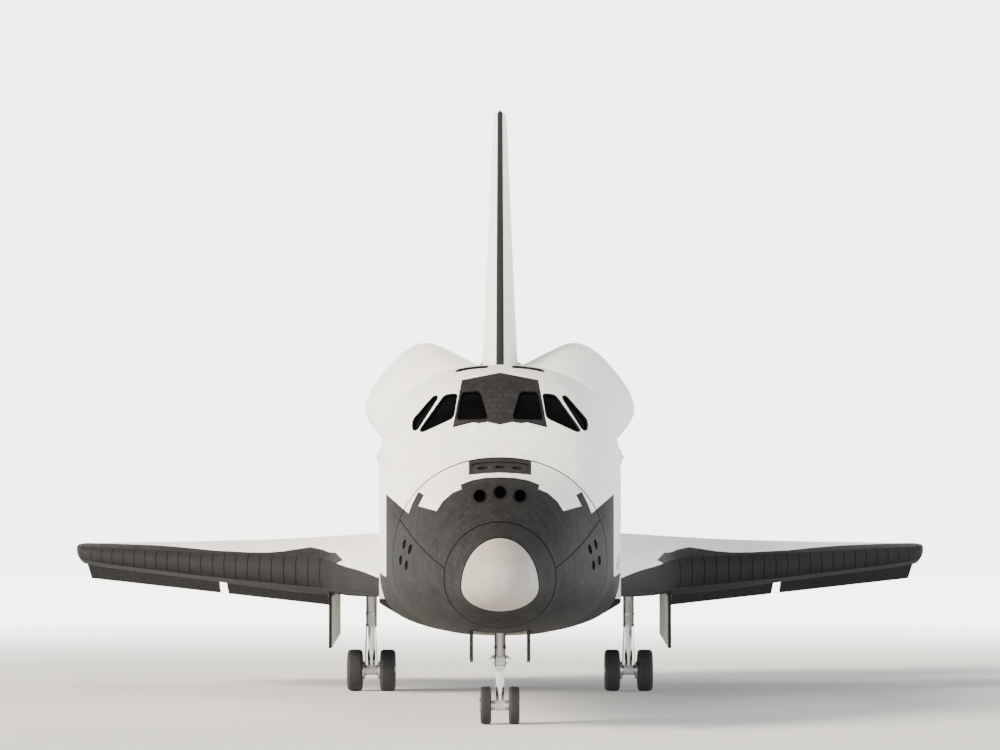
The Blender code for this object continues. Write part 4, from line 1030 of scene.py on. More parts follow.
def tile_finish(name, colour, size, joint, contrast, joint_shade, rough, gloss, flat=False):
    """Ceramic tiles with narrow joints, each tile a little lighter or darker."""
    material, tree, shader, spot = start_material(name, colour)
    place = pattern_place(tree, spot, flat)
    tiles = use(tree, tiling_group(), Place=place, Length=size[0], Width=size[1], Joint=joint)
    weather = use(tree, weather_group(), Place=spot.outputs["Object"])
    light = blend_colours(
        tree, tiles.outputs["Shade"], times(colour, 1 - contrast), times(colour, 1 + contrast)
    )
    stained = blend_colours(
        tree, maths(tree, "MULTIPLY", weather.outputs["Stain"], 0.4), light,
        mixed(times(colour, 0.9), (0.30, 0.28, 0.25), 0.04),
    )
    seamed = blend_colours(tree, tiles.outputs["Joints"], stained, times(colour, joint_shade))
    roughness = ranged(tree, weather.outputs["Grain"], rough - 0.08, rough + 0.10)
    height = maths(
        tree, "ADD", tiles.outputs["Height"], maths(tree, "MULTIPLY", weather.outputs["Grain"], 0.15)
    )
    join(tree, shader, seamed, roughness, height, 0.006)
    shader.inputs["Specular IOR Level"].default_value = gloss
    return material


def blanket_finish(name, colour, size, flat=False):
    """Sewn white blankets: large patches, a quilted face and faint stains."""
    material, tree, shader, spot = start_material(name, colour)
    place = pattern_place(tree, spot, flat)
    patches = use(tree, tiling_group(), Place=place, Length=size * 1.2, Width=size, Joint=0.007)
    quilt = use(tree, quilt_group(), Place=place, Pitch=size / 14)
    weather = use(tree, weather_group(), Place=spot.outputs["Object"])
    tone = blend_colours(
        tree, patches.outputs["Shade"], mixed(colour, (0.62, 0.60, 0.56), 0.10),
        mixed(colour, (1, 1, 1), 0.14),
    )
    stained = blend_colours(
        tree, maths(tree, "MULTIPLY", weather.outputs["Stain"], 0.30), tone,
        mixed(colour, (0.58, 0.55, 0.50), 0.35),
    )
    seamed = blend_colours(
        tree, patches.outputs["Joints"], stained, mixed(colour, (0.30, 0.30, 0.30), 0.45)
    )
    height = maths(
        tree, "ADD", maths(tree, "MULTIPLY", quilt.outputs["Height"], 0.35), patches.outputs["Height"]
    )
    rough = ranged(tree, weather.outputs["Grain"], 0.72, 0.92)
    join(tree, shader, seamed, rough, height, 0.006)
    shader.inputs["Sheen Weight"].default_value = 0.12
    return material


def metal_finish(name, colour, rough, metallic=1.0, ribs=0.0, scorch=0.0):
    """Metal with fine grain, rubbed corners and, on nozzles, fine cooling ribs and heat stains."""
    material, tree, shader, spot = start_material(name, colour)
    weather = use(tree, weather_group(), Place=spot.outputs["Object"])
    edges = use(tree, edge_group())
    toned = blend_colours(
        tree, weather.outputs["Stain"], colour, mixed(colour, (0.16, 0.12, 0.10), 0.18 + scorch)
    )
    rubbed = blend_colours(
        tree, maths(tree, "MULTIPLY", edges.outputs["Rubbed"], 0.5), toned,
        mixed(colour, (0.8, 0.8, 0.8), 0.5),
    )
    height = weather.outputs["Grain"]
    if ribs:
        apart = node(tree, "ShaderNodeSeparateXYZ", {"Vector": spot.outputs["UV"]})
        wave = maths(tree, "SINE", maths(tree, "MULTIPLY", apart.outputs["X"], math.tau / ribs))
        height = maths(tree, "ADD", height, maths(tree, "ABSOLUTE", wave))
    roughness = ranged(tree, weather.outputs["Grain"], rough - 0.06, rough + 0.14)
    join(tree, shader, rubbed, roughness, height, 0.004)
    shader.inputs["Metallic"].default_value = metallic
    return material


def carbon_finish(name, colour, rough, gloss):
    """Coated carbon: mottled, with a faint glaze."""
    material, tree, shader, spot = start_material(name, colour)
    weather = use(tree, weather_group(), Place=spot.outputs["Object"])
    mottle = node(
        tree, "ShaderNodeTexNoise", {"Vector": spot.outputs["Object"], "Scale": 6.0, "Detail": 8.0}
    )
    tone = blend_colours(tree, mottle.outputs["Fac"], times(colour, 0.8), times(colour, 1.2))
    stained = blend_colours(
        tree, maths(tree, "MULTIPLY", weather.outputs["Stain"], 0.4), tone,
        mixed(times(colour, 0.85), (0.40, 0.36, 0.32), 0.03),
    )
    roughness = ranged(tree, mottle.outputs["Fac"], rough - 0.06, rough + 0.14)
    join(tree, shader, stained, roughness, weather.outputs["Grain"], 0.0015)
    shader.inputs["Specular IOR Level"].default_value = gloss
    return material


def glass_finish(name, colour):
    """Dark coated window glass with a faint bloom of dust."""
    material, tree, shader, spot = start_material(name, colour)
    weather = use(tree, weather_group(), Place=spot.outputs["Object"])
    tone = blend_colours(tree, weather.outputs["Stain"], colour, times(colour, 2.5))
    join(
        tree, shader, tone, ranged(tree, weather.outputs["Grain"], 0.04, 0.10),
        weather.outputs["Grain"], 0.0002,
    )
    shader.inputs["Specular IOR Level"].default_value = 0.06
    return material


def rubber_finish(name, colour):
    """Tyre rubber, scuffed grey in patches."""
    material, tree, shader, spot = start_material(name, colour)
    weather = use(tree, weather_group(), Place=spot.outputs["Object"])
    scuff = node(
        tree, "ShaderNodeTexNoise", {"Vector": spot.outputs["Object"], "Scale": 14.0, "Detail": 6.0}
    )
    tone = blend_colours(
        tree, maths(tree, "MULTIPLY", scuff.outputs["Fac"], 0.5), colour,
        mixed(colour, (0.3, 0.29, 0.28), 0.08),
    )
    join(
        tree, shader, tone, ranged(tree, scuff.outputs["Fac"], 0.66, 0.92),
        weather.outputs["Grain"], 0.002,
    )
    shader.inputs["Specular IOR Level"].default_value = 0.2
    return material


def finish_named(kind):
    """The material of this kind, made when it is first asked for."""
    name = f"{kind}_finish"
    if name in bpy.data.materials:
        return bpy.data.materials[name]
    hull, gear = bpy.context.scene.orbiter_hull, bpy.context.scene.orbiter_gear
    white, black = tuple(hull.white), tuple(hull.black)
    tile, white_tile = (hull.tile, hull.tile), (hull.tile * 1.33, hull.tile * 1.33)
    # Tiles: colour, size, joint, contrast, shade of the joint, roughness, gloss. Blankets: colour,
    # size. Either: whether it is laid by facing. Metals: colour, roughness, metallic, ribs, scorch.
    # Carbon: colour, roughness, gloss.
    makers = {
        "black_tiles": (tile_finish, black, tile, 0.005, 0.22, 0.40, 0.62, 0.06),
        "black_tiles_flat": (tile_finish, black, tile, 0.005, 0.22, 0.40, 0.62, 0.06, True),
        "white_tiles": (tile_finish, white, white_tile, 0.003, 0.05, 0.62, 0.70, 0.30),
        "base_shield": (
            tile_finish, (0.06, 0.06, 0.063), (0.2, 0.2), 0.006, 0.30, 0.4, 0.7, 0.2, True
        ),
        "white_blankets": (blanket_finish, white, hull.blanket),
        "white_blankets_flat": (blanket_finish, white, hull.blanket, True),
        "bay_liner": (blanket_finish, (0.74, 0.73, 0.68), 0.55),
        "dome_blanket": (blanket_finish, (0.34, 0.33, 0.32), 0.34),
        "nose_cap_carbon": (carbon_finish, tuple(hull.carbon), 0.52, 0.35),
        "edge_carbon": (carbon_finish, times(black, 1.1), 0.75, 0.02),
        "joint_filler": (carbon_finish, (0.003, 0.003, 0.003), 0.8, 0.04),
        # Near-black for ports and vents: painted shade deep in the holes, over the thrusters' own dark
        # throats.
        "port_black": (carbon_finish, (0.008, 0.007, 0.007), 0.7, 0.05),
        "window_frame": (carbon_finish, (0.008, 0.008, 0.0085), 0.5, 0.10),
        "window_glass": (glass_finish, (0.001, 0.001, 0.0012)),
        "radiator": (metal_finish, (0.78, 0.80, 0.82), 0.22, 0.85, 0.06),
        "nozzle_metal": (metal_finish, tuple(gear.nozzle), 0.38, 1.0, 0.02, 0.25),
        "nozzle_inside": (metal_finish, (0.13, 0.12, 0.115), 0.5, 0.9, 0.02, 0.3),
        "polished_metal": (metal_finish, (0.80, 0.80, 0.82), 0.16),
        "strut_paint": (metal_finish, tuple(gear.strut), 0.40, 0.0),
        "well_paint": (metal_finish, (0.52, 0.54, 0.48), 0.55, 0.0),
        "wheel_metal": (metal_finish, (0.58, 0.59, 0.60), 0.35),
        "cabin_grey": (metal_finish, (0.26, 0.27, 0.28), 0.6, 0.0),
        "gold_foil": (metal_finish, (0.72, 0.52, 0.22), 0.3),
        "tyre_rubber": (rubber_finish, tuple(gear.rubber)),
    }
    maker, *values = makers[kind]
    return maker(name, *values)


def dress(nodes, finish):
    """Gives a finish to CAD nodes that stay in view."""
    for name in nodes:
        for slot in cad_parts[name].material_slots:
            slot.material = finish_named(finish)


# The forward body.


def forward_skin():
    """The whole forward skin, painted and cut, from which its pieces are taken."""
    half_joint = bpy.context.scene.orbiter_hull.joint / 2
    seams = (CAP_END, RING_END, MODULE_END, CABIN_END)
    stations = [(i / 64) ** 2 * CABIN_END for i in range(64)]
    stations = [s for s in stations if all(abs(s - seam) > 0.03 for seam in seams)]
    for seam in seams:
        stations += [seam - half_joint, seam, seam + half_joint]
    stations = sorted(s for s in stations if s <= CABIN_END + 1e-6)
    skin = Shape()
    skin.grid([forward_row(s) for s in stations], "white_tiles", closed=True)
    skin.paint("black_tiles", mirrored(NOSE_BLACK))
    chine = rectangle((4.9, -0.5), (CABIN_END + 1, CHINE_Z))
    skin.paint("black_tiles", chine, "side")
    skin.paint("white_tiles", mirrored(WHITE_BAND), "front", at_stations(RING_END))
    skin.paint("black_tiles", mirrored(WINDOW_SURROUND), "front", at_stations(5.0))
    for face in skin.mesh.faces:
        station = face.calc_center_median()[1]
        if station < CAP_END - half_joint:
            face.material_index = skin.number("nose_cap_carbon")
        elif any(abs(station - seam) < half_joint for seam in seams):
            face.material_index = skin.number("joint_filler")
    return skin


def cut_windows(skin):
    """The six forward windows and the two overhead ones, each sunk in a dark frame."""
    ahead = at_stations(*FRONT_WINDOWS)
    for outline in WINDOW_SHAPES:
        outline = rounded(outline, 4.5)
        for shape in (outline, [(PICTURE_WIDTH - x, y) for x, y in outline]):
            skin.paint("window_frame", swollen(shape, 0.05), "front", ahead)
            skin.recess(shape, "front", ahead, sunk_pane, "window_frame", "window_glass")
    for _, side in SIDES:
        corners = [(0.30, 7.30), (0.95, 7.38), (0.90, 7.98), (0.30, 7.98)]
        pane = rounded([(side * x, s) for x, s in corners], 0.09)
        frame_line = outset(pane, (side * 0.6, 7.6), (0.045, 0.05))
        skin.paint("window_frame", frame_line, "top", facing(2, 1))
        skin.recess(
            pane, "top", facing(2, 1), shifted(z=-0.035), "window_frame", "window_glass"
        )


def sunk_pane(point):
    """A forward window's glass lies a little aft of its frame, and inwards."""
    return point + Vector((-0.02 * point.x, 0.045, -0.02))


def port_end(point):
    """The forward facing ports end at one station, narrowed and raised."""
    return Vector((point.x * 0.95, 3.15, point.z * 0.95 + 0.14))


def cut_ports(skin):
    """The thruster ports: three ahead, three above on a sunk plate and four on each side."""
    ahead = at_stations(*FRONT_PORTS)
    for x, y in ((479.8, 495.9), (500.0, 492.4), (520.2, 495.9)):
        skin.paint("window_frame", circle(x, y, 8.0), "front", ahead)
        skin.port(circle(x, y, 6.2), "front", ahead, port_end)
    plate = rounded(rectangle((-0.60, 3.84), (0.60, 4.42)), 0.05)
    skin.recess(plate, "top", facing(2, 1), shifted(z=-0.02), "joint_filler", "black_tiles")
    for x in (-0.36, 0.0, 0.36):
        skin.port(circle(x, 4.12, 0.115), "top", facing(2, 1), shifted(z=-0.22))
    for _, side in SIDES:
        for s, z in ((3.42, 2.20), (3.85, 2.28), (3.52, 1.86), (3.95, 1.94)):
            skin.port(circle(s, z, 0.105), "side", facing(0, side, 0.2), shifted(-side * 0.22))


def on_left_flank(centre, normal):
    """A test for faces of the cabin's left side."""
    return normal.x > 0.5 and centre.x > 1.5


def in_the_belly(centre, normal):
    """A test for faces of the lower nose's underside."""
    return normal.z < 0 and centre.z < 1.2


def cut_hatch_and_well(skin):
    """The hatch's opening inside its black ring, and the nose wheel well."""
    s, z, radius = HATCH
    skin.paint("black_tiles", circle(s, z, radius + 0.16, 48), "side", on_left_flank)
    skin.paint("white_tiles", circle(s, z, radius + 0.12, 48), "side", on_left_flank)
    opening = circle(s, z, radius + 0.012, 48)
    skin.recess(opening, "side", on_left_flank, drawn_in((s, z), 0.9, 0.15), "well_paint")
    well = rectangle((-0.62, 2.45), (0.62, 5.50))
    skin.recess(well, "top", in_the_belly, well_roof, "well_paint", "well_paint")


def well_roof(point):
    """The nose wheel well ends under a flat roof."""
    return Vector((point.x, point.y, 1.02))


def over_seam(p):
    """Whether a point lies above the seam between the thruster module and the lower nose."""
    return p[2] > 1.90 + (p[1] - RING_END) * 0.85 / 3.1


def upper_nose(centre, normal):
    """A test for faces of the nose near that seam."""
    return RING_END < centre.y < MODULE_END and centre.z > 1.6


class ORBITER_OT_nose(bpy.types.Operator):
    """Build the nose cap, the tile ring, the thruster module, the lower nose and the cabin"""

    bl_idname = "orbiter.forward_body"
    bl_label = "Forward body"

    def execute(self, context):
        skin = forward_skin()
        cut_windows(skin)
        cut_ports(skin)
        cut_hatch_and_well(skin)
        seam = [(RING_END, 1.90), (MODULE_END, 2.75), (MODULE_END, 2.774), (RING_END, 1.924)]
        skin.paint("joint_filler", seam, "side", upper_nose)
        panes = ("front", "middle", "side")
        glass = [f"{where}_window_{side}" for where in panes for side, _ in SIDES]
        # Columns: skin, the nodes that it replaces, its first and last station, and the side of
        # the module's seam that it keeps.
        pieces = [
            ("nose_cap_skin", ["nose_cap"], 0, CAP_END, None),
            ("nose_ring_skin", ["nose_ring"], CAP_END, RING_END, None),
            ("thruster_module_skin", ["forward_thruster_module"], RING_END, MODULE_END, True),
            ("lower_nose_skin", ["lower_nose"], RING_END, MODULE_END, False),
            ("cabin_skin", ["cabin_shell", *glass], MODULE_END, LENGTH, None),
        ]
        for name, replaced, first, last, over in pieces:
            def keep(p):
                return first < p.y < last and over in (None, over_seam(p))
            skin.piece(name, "airframe", replaced, keep, 40)
        return {"FINISHED"}


class ORBITER_OT_cabin(bpy.types.Operator):
    """Build the cabin's liner and rear bulkhead, the side hatch and the port fittings"""

    bl_idname = "orbiter.cabin"
    bl_label = "Cabin fittings"

    def execute(self, context):
        liner = Shape()
        rows = [forward_row(s, 0.15, 1.25, 72) for s in spread(5.04, 8.73, 24)]
        liner.grid(rows, "cabin_grey", closed=True, flip=True, caps=True)
        rear = forward_row(CABIN_END - 0.002, 0.004)
        middle = 2.9
        inner = [(x * 0.6, s, middle + (z - middle) * 0.6) for x, s, z in rear]
        liner.grid([rear, inner], "bay_liner", closed=True)
        core = [(x * 0.02, s, middle + (z - middle) * 0.02) for x, s, z in inner]
        liner.grid([inner, core], "bay_liner", closed=True)
        ring = [(8.88, 0.62), (8.98, 0.60), (8.98, 0.50), (8.90, 0.50), (8.90, 0.0)]
        liner.turned(ring, "polished_metal", put(0, 0, DOCKING_Z))
        bolt = Shape()
        bolt.turned([(0, 0.02), (0.02, 0.018), (0.022, 0)], "polished_metal", put(0.55, 8.98, 0), 10)
        repeated(liner, bolt, "polished_metal", 24, turn=(0, math.tau / 24, 0),
                 place=put(0, 0, DOCKING_Z))
        liner.piece("cabin_liner", "airframe")
        dress(["flight_deck"], "cabin_grey")
        self.hatch()
        return {"FINISHED"}

    def hatch(self):
        """The round hatch, with its port, handle and two hinge arms."""
        s, z, radius = HATCH
        hatch = Shape()
        rings = [forward_row(at) for at in spread(s - 0.7, s + 0.7, 24)]
        hatch.grid(rings, "white_tiles", closed=True)
        inside = set(hatch.scored(circle(s, z, radius, 48), "side", on_left_flank))
        spare = [face for face in hatch.mesh.faces if face not in inside]
        bmesh.ops.delete(hatch.mesh, geom=spare, context="FACES")
        hatch.paint("joint_filler", circle(s, z, 0.13, 24), "side")
        hatch.paint("window_glass", circle(s, z, 0.10, 24), "side")
        shell = hatch.mesh.faces[:]
        made = bmesh.ops.extrude_face_region(hatch.mesh, geom=shell, use_keep_orig=True)["geom"]
        inwards = drawn_in((s, z), 0.88, 0.14)
        for part in made:
            if isinstance(part, bmesh.types.BMVert):
                part.co = inwards(part.co)
        bmesh.ops.recalc_face_normals(hatch.mesh, faces=hatch.mesh.faces[:])
        handle = [(2.42, s - 0.2, z), (2.36, s - 0.2, z), (2.36, s + 0.2, z), (2.42, s + 0.2, z)]
        knuckles = Shape()
        yaw = put(2.63, s, 1.66) @ Matrix.Rotation(-math.atan2(0.085, 1), 4, "Z")
        for a in (-0.16, 0.16):
            b = a + 0.075
            hatch.block((-0.045, a, 0.0), (0.0, b, 0.24), "strut_paint", yaw, 0.006)
            hatch.block((-0.13, a, 0.15), (-0.02, b, 0.24), "strut_paint", yaw, 0.006)
            hatch.tube([(0, a, 0), (0, b, 0)], 0.03, "polished_metal", 20, yaw)
            a, b = a - 0.075, a - 0.002
            knuckles.block((-0.12, a, -0.10), (0, b, 0), "strut_paint", yaw, 0.005)
            knuckles.tube([(0, a, 0), (0, b, 0)], 0.03, "polished_metal", 20, yaw)
        hatch.tube(handle, 0.015, "polished_metal")
        hatch.piece("side_hatch_skin", "side_hatch", ["side_hatch"])
        knuckles.piece("hatch_knuckles", "airframe")


# The cargo bay.


def belly_row(station):
    """The belly's section from its right corner under the vehicle to its left."""
    flat, rise = eased(BELLY, station)
    half = [(flat + t * (HALF_WIDTH - flat), rise * t**1.7) for t in spread(1, 0, 16)]
    half = [(HALF_WIDTH, BAY_FLOOR_Z), (HALF_WIDTH, 0.5 * (BAY_FLOOR_Z + rise)), *half]
    half += [(flat * t, 0.0) for t in (0.75, 0.5, 0.25)]
    line = [(-x, z) for x, z in half] + [(0, 0)] + half[::-1]
    return [(x, station, z) for x, z in line]


class ORBITER_OT_bay(bpy.types.Operator):
    """Build the belly, the cargo bay's floor, frames and rails, and its two doors"""

    bl_idname = "orbiter.cargo_bay"
    bl_label = "Cargo bay"

    def execute(self, context):
        keel = Shape()
        keel.grid([belly_row(s) for s in spread(CABIN_END, BAY_END, 60)], "black_tiles")
        self.belly_fittings(keel)
        raised = BAY_FLOOR_Z + FLOOR_RISE
        across = [(HALF_WIDTH, BAY_FLOOR_Z), (BAY_HALF, BAY_FLOOR_Z)]
        across += [(BAY_HALF, raised), (0.8, raised)]
        across = [(-x, z) for x, z in across] + across[::-1]
        floor = [[(x, s, z) for x, z in across] for s in spread(CABIN_END, BAY_END, 20)]
        keel.grid(floor, "bay_liner", flip=True)
        for station, row in ((CABIN_END, floor[0]), (BAY_END, floor[-1])):
            ring = [*belly_row(station), *row[::-1]]
            keel.cap(ring, "black_tiles", flip=station != CABIN_END)
        keel.piece("keel_skin", "airframe", ["keel"])
        dress(["bay_wall_left", "bay_wall_right", "bay_rear_bulkhead"], "white_blankets_flat")
        self.frames()
        for name, side in SIDES:
            self.door(name, side)
        return {"FINISHED"}

    def belly_fittings(self, keel):
        """The two closed umbilical doors and the forward attach point in the belly."""
        below = facing(2, -1, 0)
        for x in (-1.45, 1.45):
            for finish, rim in (("joint_filler", 0.02), ("black_tiles", 0.0)):
                door = rectangle((x - 0.60 - rim, 25.62 - rim), (x + 0.60 + rim, 26.83 + rim))
                keel.paint(finish, rounded(door, 0.06), "top", below)
        keel.paint("joint_filler", circle(0, 9.6, 0.20), "top", below)
        keel.paint("polished_metal", circle(0, 9.6, 0.10), "top", below)

    def frames(self):
        """Ribs across the bay, its sill rails and latches, cable trays and rear dish."""
        bay = Shape()
        rib = Shape()
        for low, high in (
            ((-2.38, -0.05, 0.812), (2.38, 0.05, 0.90)),
            ((2.28, -0.05, 0.88), (BAY_HALF, 0.05, 3.80)),
            ((-BAY_HALF, -0.05, 0.88), (-2.28, 0.05, 3.80)),
        ):
            rib.block(low, high, "bay_liner", bevel=0.012)
        repeated(bay, rib, "bay_liner", 13, step=(0, 1.42, 0), place=put(0, 9.60, 0))
        for _, side in SIDES:
            for x, z, radius in ((2.30, 1.45, 0.035), (2.30, 1.60, 0.05), (2.31, 2.6, 0.03)):
                tray = [(side * x, CABIN_END + 0.05, z), (side * x, BAY_END - 0.05, z)]
                bay.tube(tray, radius, "gold_foil")
            low = (side * 2.54 - 0.09, CABIN_END + 0.03, SILL_Z)
            high = (side * 2.54 + 0.09, BAY_END - 0.03, SILL_Z + 0.018)
            bay.block(low, high, "polished_metal", bevel=0.004)
            latch = Shape()
            latch.block((-0.07, -0.06, 0.0), (0.05, 0.06, 0.09), "strut_paint", bevel=0.01)
            repeated(bay, latch, "strut_paint", 12, step=(0, 1.45, 0),
                     place=put(side * 2.44, 10.2, SILL_Z + 0.01))
        dish = [(27.33, 0.0), (27.33, 1.38), (27.30, 1.40), (27.30, 1.53), (27.36, 1.55)]
        bay.turned(dish, "bay_liner", put(0, 0, 3.0))
        bay.piece("bay_frames", "airframe")

    def door(self, name, side):
        """One door: its sewn outside, its radiators inside, its hinges and seams."""
        rise = (SILL_Z + 0.025 - WAIST_Z) / (CROWN_Z - WAIST_Z)
        first = math.atan2(rise, (1 - rise**ARCH_POWER) ** (1 / ARCH_POWER))
        angles = spread(first, math.pi / 2 - 0.0025, 40)
        stations = spread(CABIN_END + 0.02, BAY_END - 0.02, 75)
        seams = spread(stations[0], stations[-1], 5)[1:-1]
        stations = [s for s in stations if all(abs(s - seam) > 0.05 for seam in seams)]
        stations = sorted(stations + [s + d for s in seams for d in (-0.012, 0.012)])
        outer = [(x * side, z) for x, z in (arch_point(a) for a in angles)]
        inner = [(x * side, z) for x, z in (arch_point(a, -DOOR_THICKNESS) for a in angles)]
        inner[0] = (inner[0][0], outer[0][1])
        door = Shape()
        rows = [[(x, s, z) for x, z in outer] for s in stations]
        door.grid(rows, "white_blankets", flip=side < 0)
        for face in door.mesh.faces:
            if any(abs(face.calc_center_median().y - seam) < 0.011 for seam in seams):
                face.material_index = door.number("joint_filler")
        ends = (stations[0], stations[-1])
        door.grid([[(x, s, z) for x, z in inner] for s in ends], "bay_liner", flip=side > 0)
        for s, turn in ((ends[0], side > 0), (ends[1], side < 0)):
            rows = [[(x, s, z) for x, z in line] for line in (inner, outer)]
            door.grid(rows, "joint_filler", flip=turn)
        for k, turn in ((0, side < 0), (-1, side > 0)):
            edge = [[(line[k][0], s, line[k][1]) for s in ends] for line in (inner, outer)]
            door.grid(edge, "joint_filler", flip=turn)
        for i in range(4):
            low = 9.25 + 4.48 * i
            high = low + 4.30
            panel = [(x * side, z) for x, z in (arch_point(a, -0.20) for a in angles[4:-2])]
            rows = [[(x, s, z) for x, z in panel] for s in (low, high)]
            door.grid(rows, "radiator", flip=side > 0)
            for s in (low, high):
                door.tube([(x, s, z) for x, z in panel[::3]], 0.022, "polished_metal", 8)
            for x, z in (panel[0], panel[-1]):
                door.tube([(x, low, z), (x, high, z)], 0.03, "polished_metal", 8)
        for station in DOOR_HINGES:
            a, b = station + 0.25, station + 0.50
            x = DOOR_AXIS_X * side
            near, far = sorted((x, x - 0.15 * side))
            low, high = (near, a, DOOR_AXIS_Z + 0.008), (far, b, DOOR_AXIS_Z + 0.16)
            door.block(low, high, "strut_paint", bevel=0.01)
            door.tube([(x, a, DOOR_AXIS_Z), (x, b, DOOR_AXIS_Z)], 0.05, "polished_metal", 20)
        latch = Shape()
        latch.block((-0.05, -0.06, -0.05), (0.03, 0.06, 0.02), "polished_metal", bevel=0.008)
        repeated(door, latch, "polished_metal", 16, step=(0, 1.14, 0),
                 place=put(side * 0.07, 9.5, CROWN_Z - 0.20))
        door.piece(f"bay_door_{name}_skin", f"bay_door_{name}", [f"bay_door_{name}"])


# The aft body.


class ORBITER_OT_aft(bpy.types.Operator):
    """Build the aft body's skin, its side fittings, the engine pods and the body flap"""

    bl_idname = "orbiter.aft_body"
    bl_label = "Aft body"

    def execute(self, context):
        skin = Shape()
        rows = []
        for share in spread(0, 1, 24):
            row = []
            for i in range(144):
                x, z = arch_point(math.tau * i / 144 - math.pi / 2, 0.006)
                end = AFT_END - AFT_RAKE * z / CROWN_Z
                row.append((x, BAY_END + share * (end - BAY_END), z))
            rows.append(row)
        skin.grid(rows, "white_blankets", closed=True)
        dark = [(27, -1), (27, 0.72), (30.4, 0.72), (31.4, 1.3), (33, 1.3), (33, -1)]
        skin.paint("black_tiles", dark, "side")
        skin.paint("joint_filler", [(27, -1), (27, 9), (27.4, 9), (27.4, -1)], "side")
        for side in (1, -1):
            self.side_fittings(skin, side)
        skin.piece("aft_skin", "airframe")
        dress(["aft_fuselage"], "base_shield")
        dress(["body_flap"], "black_tiles_flat")
        for name, side in SIDES:
            self.pod(name, side)
        return {"FINISHED"}

    def side_fittings(self, skin, side):
        """The service panel with its sockets, and two vents, in one side."""
        out = facing(0, side, 0.6)
        panel = rounded(rectangle((30.7, 1.75), (31.5, 2.75)), 0.08)
        skin.recess(panel, "side", out, shifted(x=-side * 0.05), "joint_filler", "well_paint")
        for s in (28.2, 29.4):
            vent = rounded(rectangle((s, 2.9), (s + 0.45, 3.1)), 0.03)
            # Each vent's bottom is near-black painted shade of the opening behind it.
            skin.recess(vent, "side", out, shifted(x=-side * 0.06), "joint_filler", "port_black")
        socket = Shape()
        profile = [(0, 0.09), (0.035, 0.085), (0.04, 0.05), (0.02, 0.0)]
        socket.turned(profile, "polished_metal", put(0, 30.86, 1.95), 20, "X")
        turn = put(side * 2.66, 0, 0) @ Matrix.Diagonal((side, 1, 1, 1))
        repeated(skin, socket, "polished_metal", 4, step=(0, 0, 0.2), place=turn)

    def pod(self, name, side):
        """An engine pod with its thruster ports."""
        seat = [arch_point(math.radians(a), 0.004) for a in POD_SEAT] + [(HALF_WIDTH + 0.004, 3.20)]
        full, base = ([tuple(p) for p in flowing(line, 5)] for line in (POD, seat))
        inner_foot = arch_point(math.radians(63))[1]
        rows, under = [], []
        for s in [*spread(27.45, 31.95, 34), POD_STEP, *spread(32.4, 33.5, 8)]:
            share = eased(POD_GROWTH, s)[0] if s > 27.5 else 0.0
            ring = [
                (bx + (fx - bx) * share, bz + (fz - bz) * share)
                for (bx, bz), (fx, fz) in zip(base, full)
            ]
            if s >= POD_STEP:
                inner = [i for i, p in enumerate(ring) if p[0] < POD_INNER]
                top = ring[inner[-1]][1]
                for i in inner:
                    ring[i] = (POD_INNER, inner_foot + (top - inner_foot) * i / max(inner[-1], 1))
                seated = [(x, z) if x > POD_INNER else (POD_INNER, inner_foot) for x, z in base]
                under.append([(x * side, s, z) for x, z in seated])
            rows.append([(x * side, s, z) for x, z in ring])
        pod = Shape()
        pod.grid(rows, "white_blankets", flip=side > 0)
        pod.grid(under, "base_shield", flip=side < 0)
        pod.grid([rows[-1], under[-1]], "base_shield", flip=side > 0)
        for z in (5.05, 4.75):
            for s in (32.55, 32.85, 33.15):
                hole = circle(s, z, 0.10, 20)
                pod.port(hole, "side", facing(0, side, 0.4), shifted(x=-side * 0.2))
        for s in (32.6, 32.95, 33.25):
            pod.port(circle(side * 2.5, s, 0.10, 20), "top", facing(2, 1, 0.5), shifted(z=-0.2))
        pod.paint("joint_filler", [(31.60, 3), (31.60, 7), (31.62, 7), (31.62, 3)], "side")
        pod.piece(f"engine_pod_{name}_skin", "airframe", [f"engine_pod_{name}"], None, 45)
        self.pod_engine(name, put(side * 2.3, 33.5, 5.35))

    def pod_engine(self, name, place):
        """A pod's nozzle with its collars and its round shield."""
        bell = Shape()
        outer = [(a, eased(POD_NOZZLE, a)[0]) for a in spread(0, 1.1, 14)]
        bell.turned(outer + [(1.12, 0.55), (1.12, 0.52)], "nozzle_metal", place, 72)
        inner = [(a, r - 0.03) for a, r in outer[::-1]][:-2] + [(0.22, 0.12), (0.18, 0.0)]
        bell.turned(inner, "nozzle_inside", place, 72)
        for a in (0.35, 0.75, 1.06):
            radius = eased(outer, a)[0] + 0.02
            bell.band(a, radius, 0.02, 0.005, 0.02, "polished_metal", place, 72)
        bell.turned([(-0.3, 0.40), (0.02, 0.36), (0.10, 0.29)], "dome_blanket", place, 48)
        bell.piece(f"pod_engine_{name}_bell", "airframe", [f"pod_engine_{name}"])


